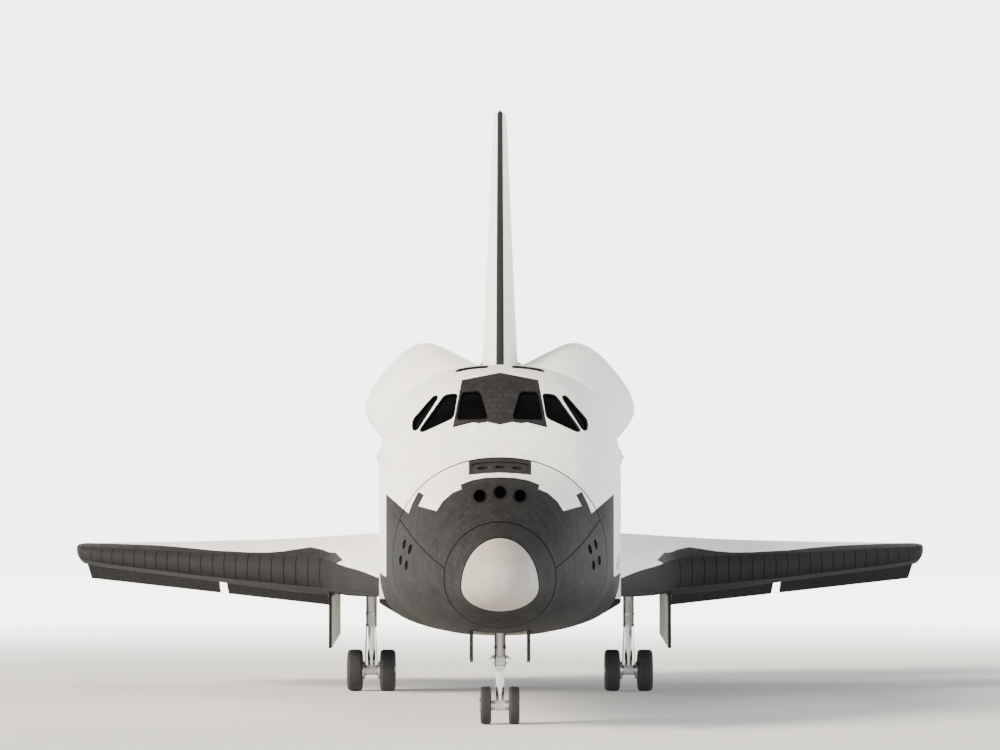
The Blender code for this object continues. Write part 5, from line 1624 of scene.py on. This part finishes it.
class ORBITER_OT_engines(bpy.types.Operator):
    """Build the three main engines with their round heat shields"""

    bl_idname = "orbiter.main_engines"
    bl_label = "Main engines"

    def execute(self, context):
        for name, x, station, z, up, out in MAIN_ENGINES:
            yaw = Matrix.Rotation(-math.radians(out), 4, "Z")
            turn = yaw @ Matrix.Rotation(math.radians(up), 4, "X")
            self.engine(name, put(x, station, z) @ turn)
        return {"FINISHED"}

    def engine(self, name, place):
        """One engine: its round shield, ribbed bell, rim, collars, pipes and bolts."""
        engine = Shape()
        first, last = math.acos(DOME_FRONT / DOME_RADIUS), math.acos(1.06 / DOME_RADIUS)
        dome = [(DOME_RADIUS * math.cos(a), DOME_RADIUS * math.sin(a)) for a in spread(first, last, 28)]
        engine.turned([(DOME_FRONT, 0.0), *dome], "dome_blanket", place, 96)
        outer = [(a, eased(NOZZLE, a)[0]) for a in spread(1.06, 4.25, 40)]
        engine.turned(outer, "nozzle_metal", place, 120)
        lip = [(4.25, 1.09), (4.27, 1.10), (4.29, 1.085), (4.27, 1.05), (4.25, 1.03)]
        engine.turned(lip, "polished_metal", place, 120)
        inner = [(a, r - 0.06) for a, r in outer[::-1]] + [(1.25, 0.30), (1.31, 0.22), (1.26, 0.0)]
        engine.turned(inner, "nozzle_inside", place, 120)
        for a in (1.25, 1.55, 1.9, 2.25, 2.6, 2.95, 3.3, 3.62, 3.92):
            radius = eased(NOZZLE, a)[0] + 0.028
            engine.band(a, radius, 0.03, 0.002, 0.033, "nozzle_metal", place, 96)
        collar = [(1.02, 0.64), (1.04, 0.70), (1.12, 0.70), (1.14, 0.62)]
        engine.turned(collar, "polished_metal", place, 72)
        ring = [(4.12 + 0.045 * math.cos(t), 1.115 + 0.045 * math.sin(t))
                for t in spread(0, math.tau, 16)]
        engine.turned(ring[::-1], "polished_metal", place, 96)
        for angle in (0.6, 2.7, 4.8):
            path = []
            for a in spread(1.1, 4.1, 26):
                r = eased(NOZZLE, a)[0] + 0.06 + 0.02 * math.sin(a * 3)
                turn = angle + 0.25 * (a - 1.1) / 3
                path.append((r * math.cos(turn), a, r * math.sin(turn)))
            engine.tube(path, 0.035, "polished_metal", 10, place)
        bolt = Shape()
        bolt.turned([(1.14, 0.016), (1.165, 0.014), (1.166, 0)], "polished_metal", put(0.66, 0, 0), 8)
        repeated(engine, bolt, "polished_metal", 40, turn=(0, math.tau / 40, 0), place=place)
        engine.piece(f"main_engine_{name}_bell", f"main_engine_{name}", [f"main_engine_{name}"])


# Wings, elevons and fin.


class ORBITER_OT_wings(bpy.types.Operator):
    """Build the wings with their wheel wells, leading edges and elevons"""

    bl_idname = "orbiter.wings"
    bl_label = "Wings"

    def execute(self, context):
        for name, side in SIDES:
            self.wing(name, side)
            self.leading_edge(name, side)
            for label, inner, outer in ELEVONS:
                self.elevon(f"elevon_{label}_{name}", inner, outer, side)
        return {"FINISHED"}

    def section(self, x):
        """The wing's section at a distance from the middle."""
        return [x, *eased(WING, x)]

    def wing(self, name, side):
        """A wing's skin, with its wheel well and the fixed edge beside the body."""
        wing = Shape()
        rows = []
        for x in sorted([*spread(2.70, 11.6, 66), 11.7, 11.78, 11.84, 11.88, 11.9]):
            row = self.section(x)
            hinge_z, radius = hinge_at(x)
            cove = radius + 0.02
            cut = row[1] + LEADING_DEPTH + 0.002
            crest, flat = row[6], row[4]
            lip = HINGE_STATION - 0.7 * cove
            upper = [cut + (crest - cut) * t**1.6 for t in spread(0, 1, 16)]
            upper += [crest + (lip - crest) * t for t in spread(0, 1, 12)[1:]]
            lower = [lip + (flat - lip) * t for t in spread(0, 1, 6)]
            lower += [flat + (cut - flat) * (1 - (1 - t) ** 1.5) for t in spread(0, 1, 12)[1:]]
            arc = [
                (HINGE_STATION + cove * math.cos(a), hinge_z + cove * math.sin(a))
                for a in spread(math.radians(139), math.radians(221), 6)
            ]
            loop = [(s, wing_top(row, s)) for s in upper] + arc
            loop += [(s, wing_bottom(row, s)) for s in lower]
            rows.append([(x * side, s, z) for s, z in loop])
        made = wing.grid(rows, "white_blankets", closed=True, flip=side < 0)
        for i, face in enumerate(made):
            if i % len(loop) >= len(upper) + 3:
                face.material_index = wing.number("black_tiles")
        wing.cap(rows[-1], "black_tiles", side < 0)
        wing.paint("black_tiles", [(x * side, s) for x, s in WING_BLACK], "top", facing(2, 1, 0))
        well = [(side * x, s) for x, s in rectangle((2.95, 20.7), (4.45, 24.25))]
        wing.recess(
            well, "top", facing(2, -1, 0), lambda p: Vector((p.x, p.y, 1.05)), "well_paint",
            "well_paint",
        )
        self.fixed_edge(wing, side)
        for dx in (0, 0.12, 0.3):
            pipe = [(side * 3.2 + side * dx, s, 0.9) for s in (20.8, 24.1)]
            wing.tube(pipe, 0.02 + dx * 0.03, "polished_metal")
        wing.piece(f"wing_{name}_skin", "airframe", [f"wing_{name}"])

    def fixed_edge(self, wing, side):
        """The fixed trailing edge between the body and the inboard elevon."""
        rows = []
        for x in spread(2.70, FIXED_EDGE_END, 8):
            row = self.section(x)
            hinge_z, radius = hinge_at(x)
            front, end = HINGE_STATION - 0.5, trailing_edge(x)
            loop = [(front, wing_top(row, front) - 0.002), (HINGE_STATION, hinge_z + radius)]
            loop += [(end, hinge_z + TRAILING_HALF), (end, hinge_z - TRAILING_HALF)]
            loop += [(HINGE_STATION, hinge_z - radius), (front, wing_bottom(row, front) + 0.002)]
            rows.append([(x * side, s, z) for s, z in loop])
        made = wing.grid(rows, "white_blankets", closed=True, flip=side < 0, caps=True)
        for i, face in enumerate(made[:-2]):
            if i % len(loop) in (2, 3, 4):
                face.material_index = wing.number("black_tiles")

    def leading_edge(self, name, side):
        """The curved leading-edge panels and the dark seals between them."""
        edge = Shape()
        seals = spread(4.6, 11.6, 21)
        places = [x for x in spread(2.70, 11.9, 76) if all(abs(x - seal) > 0.03 for seal in seals)]
        places = sorted(places + [x + d for x in seals for d in (-0.012, 0.012)] + [11.84, 11.88])
        rows = []
        for x in places:
            row = self.section(x)
            depths = [LEADING_DEPTH * t**2 for t in spread(0, 1, 9)]
            loop = [(row[1] + d, wing_bottom(row, row[1] + d)) for d in reversed(depths[1:])]
            loop += [(row[1] + d, wing_top(row, row[1] + d)) for d in depths]
            rows.append([(x * side, s, z) for s, z in loop])
        for face in edge.grid(rows, "edge_carbon", closed=True, flip=side > 0):
            if any(abs(abs(face.calc_center_median().x) - seal) < 0.011 for seal in seals):
                face.material_index = edge.number("joint_filler")
        edge.cap(rows[-1], "edge_carbon", side > 0)
        edge.piece(f"leading_edge_{name}_skin", "airframe", [f"leading_edge_{name}"], None, 60)

    def elevon(self, name, inner, outer, side):
        """One elevon, drooped as it parks: a round nose and two flat sides."""
        lean = math.atan2(HINGE_OUTER[1] - HINGE_INNER[1], HINGE_OUTER[0] - HINGE_INNER[0])
        place = put(side * inner, HINGE_STATION, hinge_at(inner)[0])
        place = place @ Matrix.Rotation(-side * lean, 4, "Y") @ Matrix.Rotation(-ELEVON_DROOP, 4, "X")
        rows = []
        for x in spread(inner, outer, 16):
            radius, chord = hinge_at(x)[1], trailing_edge(x) - HINGE_STATION
            angles = [math.pi * (0.5 + t) for t in spread(0, 1, 12)]
            ring = [(radius * math.cos(a), radius * math.sin(a)) for a in angles]
            for way, shares in ((-1, (0.25, 0.5, 0.75, 1)), (1, (1, 0.75, 0.5, 0.25))):
                ring += [(chord * t, way * (radius + (TRAILING_HALF - radius) * t)) for t in shares]
            rows.append([place @ Vector((side * (x - inner), y, z)) for y, z in ring])
        elevon = Shape()
        made = elevon.grid(rows, "white_blankets", closed=True, flip=side > 0, caps=True)
        for i, face in enumerate(made):
            if i >= len(made) - 2 or 4 <= i % len(rows[0]) <= 16:
                face.material_index = elevon.number("black_tiles")
        elevon.piece(f"{name}_skin", name, [name], None, 40)


class ORBITER_OT_fin(bpy.types.Operator):
    """Build the fin with its dark leading edge, and finish the rudder"""

    bl_idname = "orbiter.fin"
    bl_label = "Fin and rudder"

    def execute(self, context):
        fin = Shape()
        stretch = 1 / math.cos(HINGE_LEAN)
        rows = []
        for z in [*spread(6.04, 13.55, 50), 13.64, 13.71, 13.76, 13.79, 13.80]:
            nose, hinge, _, half = between(FIN, z)
            round_off = math.sqrt(max(0.0, 1 - max(0.0, (z - 13.58) / 0.22) ** 2)) * 0.85 + 0.15
            cove = half + 0.02
            left = []
            for t in spread(0, 1, 18):
                width = 0.05 + (half - 0.05) * math.sin(t * math.pi / 2) ** 0.9
                left.append((width * round_off, nose + (hinge - 0.5 * cove * stretch - nose) * t**1.3))
            for a in spread(math.radians(27), math.radians(90), 6):
                left.append((cove * math.cos(a) * round_off, hinge - cove * math.sin(a) * stretch))
            ring = [*left, *[(-x, s) for x, s in reversed(left[:-1])]]
            rows.append([(x, s, z) for x, s in ring])
        fin.grid(rows, "white_blankets", closed=True, flip=True, caps=True)
        for face in fin.mesh.faces:
            if abs(face.calc_center_median().x) < 0.052 and face.normal.y < -0.3:
                face.material_index = fin.number("edge_carbon")
        foot = [(0.06, 26.56), (0.31, 28.2), (0.50, 30.0), (0.42, 31.2), (0.06, 31.86)]
        ring = [(p.x, p.y) for p in flowing(foot, 6)]
        ring += [(-x, s) for x, s in reversed(ring)]
        base = [[(x, s, z) for x, s in ring] for z in (6.0, 6.22)]
        fin.grid(base, "white_blankets", closed=True, flip=True, caps=True)
        stripe = [(496.0, 368.5), (497.4, 112.0), (502.6, 112.0), (504.0, 368.5)]
        fin.paint("edge_carbon", stripe, "front", facing(1, -1, -0.2))
        low = [(z, tail) for z, tail in ((FIN[0][0], 32.1), (RUDDER_FOOT_Z, 34.32))]
        tip = [(z, between(FIN, z)[2]) for z in (RUDDER_HEAD_Z - 1.2, FIN[1][0])]
        self.fixed_tail(fin, low, RUDDER_FOOT_Z, -1)
        self.fixed_tail(fin, tip, RUDDER_HEAD_Z, 1)
        fin.piece("fin_skin", "airframe", ["fin"], None, 40)
        dress(["rudder_left", "rudder_right"], "white_blankets_flat")
        return {"FINISHED"}

    def fixed_tail(self, fin, ends, edge_z, way):
        """The fin's fixed tail below (way -1) or above (1) the rudder, cut square to its hinge."""
        tail = Shape()
        rows = []
        for z, tail_s in ends:
            _, hinge, _, half = between(FIN, z)
            front = min(hinge - 1.1 * half, tail_s - 0.35)
            left = [(0.9 * half, front), (0.9 * half, min(hinge, tail_s - 0.25)), (0.05, tail_s)]
            rows.append([(x, s, z) for x, s in left + [(-x, s) for x, s in reversed(left)]])
        tail.grid(rows, "white_blankets", closed=True, flip=True, caps=True)
        up = Vector((0, math.sin(HINGE_LEAN), math.cos(HINGE_LEAN)))
        point = Vector((0, between(FIN, edge_z)[1], edge_z)) + way * RUDDER_GAP * up
        whole = [*tail.mesh.verts, *tail.mesh.edges, *tail.mesh.faces]
        bmesh.ops.bisect_plane(
            tail.mesh, geom=whole, plane_co=point, plane_no=-way * up, clear_outer=True
        )
        bmesh.ops.holes_fill(tail.mesh, edges=tail.mesh.edges[:])
        bmesh.ops.recalc_face_normals(tail.mesh, faces=tail.mesh.faces[:])
        fin.absorb(unit_mesh(tail), "white_blankets")


# Landing gear.


def axle_height(station, radius):
    """Height of an axle over the belly when its tyres stand on the floor."""
    flat = radius * math.cos(TYRE_SIDE)
    drop = BELLY_LIFT + (station - LENGTH / 2) * math.sin(NOSE_DOWN)
    return (flat - drop) / math.cos(NOSE_DOWN)


class ORBITER_OT_gear(bpy.types.Operator):
    """Build the tyres, hubs, drag links and doors' insides of the landing gear"""

    bl_idname = "orbiter.landing_gear"
    bl_label = "Landing gear"

    def execute(self, context):
        dress(["main_strut_left", "main_strut_right", "nose_strut", "nose_steering_leg"], "strut_paint")
        dress(["main_left_axle", "main_right_axle", "nose_axle"], "wheel_metal")
        doors = [f"{gear}_gear_door_{side}" for gear in ("main", "nose") for side, _ in SIDES]
        dress(doors, "black_tiles_flat")
        x, station, radius = MAIN_GEAR
        for name, side in SIDES:
            gear = (side * x, station, radius)
            self.wheels(f"main_{name}", f"main_wheels_{name}", gear, 0.285, 0.205, 0.44)
            self.main_leg(name, side)
            self.main_door(name, side)
        self.wheels("nose", "nose_wheels", NOSE_GEAR, 0.205, 0.115, 0.30)
        self.nose_leg()
        return {"FINISHED"}

    def wheels(self, name, body, gear, rim, half, spacing):
        """Two grooved tyres, and bolted hubs over the axle's ends."""
        x, station, radius = gear
        place = put(x, station, axle_height(station, radius))
        profile = self.tyre_profile(radius * math.cos(TYRE_SIDE), rim, half)
        hubs = Shape()
        for tag, out in SIDES:
            offset = out * spacing
            tyre = Shape()
            tyre.turned([(offset + a, r) for a, r in reversed(profile)], "tyre_rubber", place, 96, "X")
            tyre.piece(f"{name}_tyre_{tag}_skin", body, [f"{name}_tyre_{tag}"], None, 50)
            self.hub(hubs, offset + out * 0.8 * half, out, rim, place)
        bmesh.ops.recalc_face_normals(hubs.mesh, faces=hubs.mesh.faces[:])
        hubs.piece(f"{name}_hubs", body)

    def tyre_profile(self, radius, rim, half):
        """A grooved tyre's profile of (distance from its middle, radius)."""
        crown = [(0.62 * half, radius - 0.008)]
        for groove in (0.42, 0.14, -0.14, -0.42):
            for d, drop in ((0.035, 0), (0.03, 0.012), (-0.03, 0.012), (-0.035, 0)):
                crown.append(((groove + d * 1.4) * half, radius - drop - 0.006 * abs(groove)))
        crown.append((-0.62 * half, radius - 0.008))
        wall = [(0.80 * half, rim), (0.93 * half, rim + 0.03), (half, (radius + rim) / 2)]
        wall += [(0.97 * half, radius - 0.12 * radius), (0.84 * half, radius - 0.045 * radius)]
        return wall + crown + [(-a, r) for a, r in reversed(wall)]

    def hub(self, hubs, face, out, rim, place):
        """A wheel's cap, rim ring and bolts, on the side that looks outwards."""
        cap = [(-0.02, 0.42), (0.02, 0.36), (0.035, 0.2), (0.035, 0.0)]
        cap = [(face + out * a, r * rim) for a, r in cap]
        hubs.turned(cap, "wheel_metal", place, 48, "X")
        ring = [(face - 0.004, 0.97 * rim), (face + out * 0.012, 0.95 * rim)]
        ring += [(face + out * 0.012, 0.88 * rim), (face - 0.004, 0.86 * rim)]
        hubs.turned(ring, "polished_metal", place, 64, "X")
        bolt = Shape()
        profile = [(face - 0.05, 0.012), (face + out * 0.004, 0.011), (face + out * 0.005, 0.0)]
        bolt.turned(profile, "polished_metal", put(0, 0, 0.70 * rim), 8, "X")
        repeated(hubs, bolt, "polished_metal", 14, turn=(math.tau / 14, 0, 0), place=place)

    def scissors(self, leg, x, joints, half, share, radius):
        """Two links side by side from a leg's collar to its knee, and two on to its axle."""
        for a, b in zip(joints, joints[1:]):
            for dx in (-half, half):
                leg.tube([(x + dx, *a), (x + dx * share, *b)], radius, "strut_paint")

    def main_leg(self, name, side):
        """Collars, scissor links, a jack, brakes, lines and door rods on a main leg."""
        x, station, radius = MAIN_GEAR
        axle = axle_height(station, radius)
        x *= side
        leg = Shape()
        for z, r, back in ((-0.93, 0.165, 0.0), (-0.62, 0.165, 0.0), (0.1, 0.17, 0.02)):
            leg.band(z, r, 0.03, 0.005, 0.02, "wheel_metal", put(x, station + back, 0), axis="Z")
        rod = [(axle + 0.16, 0.104), (-0.98, 0.104)]
        leg.turned(rod, "polished_metal", put(x, station, 0), 40, "Z")
        middle = (axle - 0.9) / 2 + 0.02
        joints = [(station + 0.14, -0.88), (station + 0.42, middle), (station + 0.12, axle + 0.14)]
        self.scissors(leg, x, joints, 0.08, 0.4, 0.026)
        leg.tube([(x + dx, station + 0.42, middle) for dx in (-0.07, 0.07)], 0.035, "polished_metal")
        for dx in (-0.115, -0.135, 0.12):
            path = [(x + dx, station - 0.11, 0.6), (x + dx, station - 0.13, -0.2)]
            path += [(x + dx, station - 0.13, -0.9), (x + dx * 1.1, station - 0.17, -1.3)]
            path += [(x + dx * 1.3, station - 0.12, axle + 0.10)]
            leg.tube(flowing(path, 6), 0.009, "joint_filler", 8)
        for dx in (-0.24, 0.24):
            leg.band(dx, 0.235, 0.07, 0.01, 0.035, "wheel_metal", put(x, station, axle), 48, "X")
        leg.tube([(x, station - 0.45, 0.15), (x, station - 1.0, 0.40)], 0.095, "strut_paint", 20)
        for s, r in ((22.6, 0.028), (22.9, 0.022)):
            leg.tube([(side * 4.36, s, 0.45), (side * 4.36, s, -0.35)], r, "polished_metal")
        leg.piece(f"main_leg_{name}_fittings", "airframe")

    def main_door(self, name, side):
        """The inside of a main gear door: its panel, ribs and fasteners."""
        door, rib = Shape(), Shape()
        low, high = sorted((side * 4.345, side * 4.379))
        door.block((low, 20.83, -1.24), (high, 24.12, 0.06), "well_paint", bevel=0.01)
        near, far = sorted((side * 4.30, side * 4.35))
        rib.block((near, -0.03, -1.20), (far, 0.03, 0.04), "well_paint", bevel=0.008)
        repeated(door, rib, "well_paint", 7, step=(0, 0.52, 0), place=put(0, 20.95, 0))
        x = side * 4.345
        corners = [(x, 20.90, -1.18), (x, 24.05, -1.18), (x, 24.05, 0.0), (x, 20.90, 0.0)]
        studded(door, corners, 0.13, "polished_metal")
        door.piece(f"main_gear_door_{name}_inside", "airframe")

    def nose_leg(self):
        """Collars, a steering box, scissor links, lamps and lines on the nose leg."""
        _, station, radius = NOSE_GEAR
        axle = axle_height(station, radius)
        upright = put(0, station, 0)
        leg = Shape()
        for z in (-0.36, 0.05, 0.4):
            leg.band(z, 0.135, 0.03, 0.005, 0.015, "wheel_metal", upright, axis="Z")
        low, high = (-0.20, station - 0.14, -0.30), (0.20, station + 0.02, -0.12)
        leg.block(low, high, "strut_paint", bevel=0.03)
        lamp = [(-0.22, 0.0), (-0.22, 0.055), (-0.18, 0.065), (-0.13, 0.03)]
        for x in (-0.17, 0.17):
            leg.turned(lamp, "polished_metal", put(x, station, -0.21), 24)
        for dx in (-0.10, 0.11):
            path = [(dx, station - 0.08, 0.6), (dx, station - 0.13, 0.0)]
            path += [(dx, station - 0.15, -0.25), (dx * 0.9, station - 0.12, -0.36)]
            leg.tube(flowing(path, 6), 0.008, "joint_filler", 8)
        leg.piece("nose_leg_fittings", "airframe")
        lower = Shape()
        rod = [(axle + 0.12, 0.089), (-0.46, 0.089)]
        lower.turned(rod, "polished_metal", upright, 40, "Z")
        middle = (axle - 0.42) / 2
        joints = [(station + 0.08, -0.50), (station + 0.30, middle), (station + 0.09, axle + 0.06)]
        self.scissors(lower, 0, joints, 0.06, 0.5, 0.02)
        lower.piece("nose_leg_lower_fittings", "nose_steering")


# Stage.


class ORBITER_OT_stage(bpy.types.Operator):
    """Set the floor, the soft lights and the camera"""

    bl_idname = "orbiter.stage"
    bl_label = "Stage"

    def execute(self, context):
        stage = context.scene.orbiter_stage
        mesh = bpy.data.meshes.new("floor")
        mesh.from_pydata([(x, y, 0) for x, y in circle(0, 0, 1500, 96)], [], [tuple(range(96))])
        floor = bpy.data.objects.new("floor", mesh)
        context.scene.collection.objects.link(floor)
        mesh.materials.append(self.paper(stage))
        context.scene.world = self.surround(stage)
        lamp = bpy.data.lights.new("key", "SUN")
        lamp.energy, lamp.angle, lamp.color = stage.key, math.radians(24), (1.0, 0.87, 0.64)
        key = bpy.data.objects.new("key", lamp)
        key.rotation_euler = Vector((0.90, 0.60, -0.50)).to_track_quat("-Z", "Y").to_euler()
        context.scene.collection.objects.link(key)
        camera = bpy.data.cameras.new("camera")
        camera.sensor_width, camera.lens = 36, 36 * REACH / 1000
        camera.clip_start, camera.clip_end = 1, 5000
        eye = bpy.data.objects.new("camera", camera)
        level = Matrix.Rotation(math.pi / 2 + NOSE_DOWN, 4, "X")
        eye.matrix_world = Matrix.Translation(PLACE @ EYE) @ level
        context.scene.collection.objects.link(eye)
        context.scene.camera = eye
        return {"FINISHED"}

    def paper(self, stage):
        """Pale paper underfoot that fades, away from the vehicle, into the bright surround."""
        colour = tuple(stage.floor)
        material, tree, shader, spot = start_material("floor_paper", colour)
        noise = node(tree, "ShaderNodeTexNoise", {"Vector": spot.outputs["Object"], "Scale": 0.3})
        tone = blend_colours(tree, noise.outputs["Fac"], colour, times(colour, 1.02))
        rough = ranged(tree, noise.outputs["Fac"], 0.9, 1.0)
        join(tree, shader, tone, rough, noise.outputs["Fac"], 0.0005)
        away = node(tree, "ShaderNodeVectorMath", {0: spot.outputs["Object"]}, operation="LENGTH")
        fade = node(
            tree, "ShaderNodeMapRange",
            {"Value": away.outputs["Value"], "From Min": stage.clearing * 0.5,
             "From Max": stage.clearing * 3, "To Min": 0.0, "To Max": stage.surround * 0.8},
            interpolation_type="SMOOTHSTEP",
        )
        shader.inputs["Specular IOR Level"].default_value = 0.0
        shader.inputs["Emission Color"].default_value = (1, 1, 1, 1)
        tree.links.new(fade.outputs[0], shader.inputs["Emission Strength"])
        return material

    def surround(self, stage):
        """A white surround, bright towards the horizon and dim overhead."""
        world = bpy.data.worlds.new("white_surround")
        world.use_nodes = True
        tree = world.node_tree
        spot = node(tree, "ShaderNodeTexCoord")
        apart = node(tree, "ShaderNodeSeparateXYZ", {"Vector": spot.outputs["Generated"]})
        glow = node(
            tree, "ShaderNodeMapRange",
            {"Value": apart.outputs["Z"], "From Min": 0.14, "From Max": 0.5,
             "To Min": stage.surround, "To Max": stage.overhead},
        )
        paint = tree.nodes["Background"]
        paint.inputs["Color"].default_value = (0.97, 0.985, 1.0, 1)
        tree.links.new(glow.outputs[0], paint.inputs["Strength"])
        return world


class ORBITER_PT_panel(bpy.types.Panel):
    """Lists the orbiter's settings and its pieces"""

    bl_idname = "ORBITER_PT_panel"
    bl_label = "Orbiter"
    bl_space_type = "VIEW_3D"
    bl_region_type = "UI"
    bl_category = "Orbiter"

    def draw(self, context):
        for name in ("orbiter_hull", "orbiter_gear", "orbiter_stage"):
            settings = getattr(context.scene, name)
            box = self.layout.box()
            for label in settings.__annotations__:
                box.prop(settings, label)
        for operator in OPERATORS:
            self.layout.operator(operator.bl_idname)


OPERATORS = (
    ORBITER_OT_stage, ORBITER_OT_nose, ORBITER_OT_cabin, ORBITER_OT_bay, ORBITER_OT_aft,
    ORBITER_OT_engines, ORBITER_OT_wings, ORBITER_OT_fin, ORBITER_OT_gear,
)
CLASSES = (HullSettings, GearSettings, StageSettings, *OPERATORS, ORBITER_PT_panel)


def register():
    for item in CLASSES:
        bpy.utils.register_class(item)
    bpy.types.Scene.orbiter_hull = PointerProperty(type=HullSettings)
    bpy.types.Scene.orbiter_gear = PointerProperty(type=GearSettings)
    bpy.types.Scene.orbiter_stage = PointerProperty(type=StageSettings)


def unregister():
    for name in ("orbiter_hull", "orbiter_gear", "orbiter_stage"):
        delattr(bpy.types.Scene, name)
    for item in reversed(CLASSES):
        bpy.utils.unregister_class(item)


def main():
    """Builds every piece."""
    register()
    for operator in OPERATORS:
        group, name = operator.bl_idname.split(".")
        getattr(getattr(bpy.ops, group), name)()


if __name__ == "__main__":
    main()
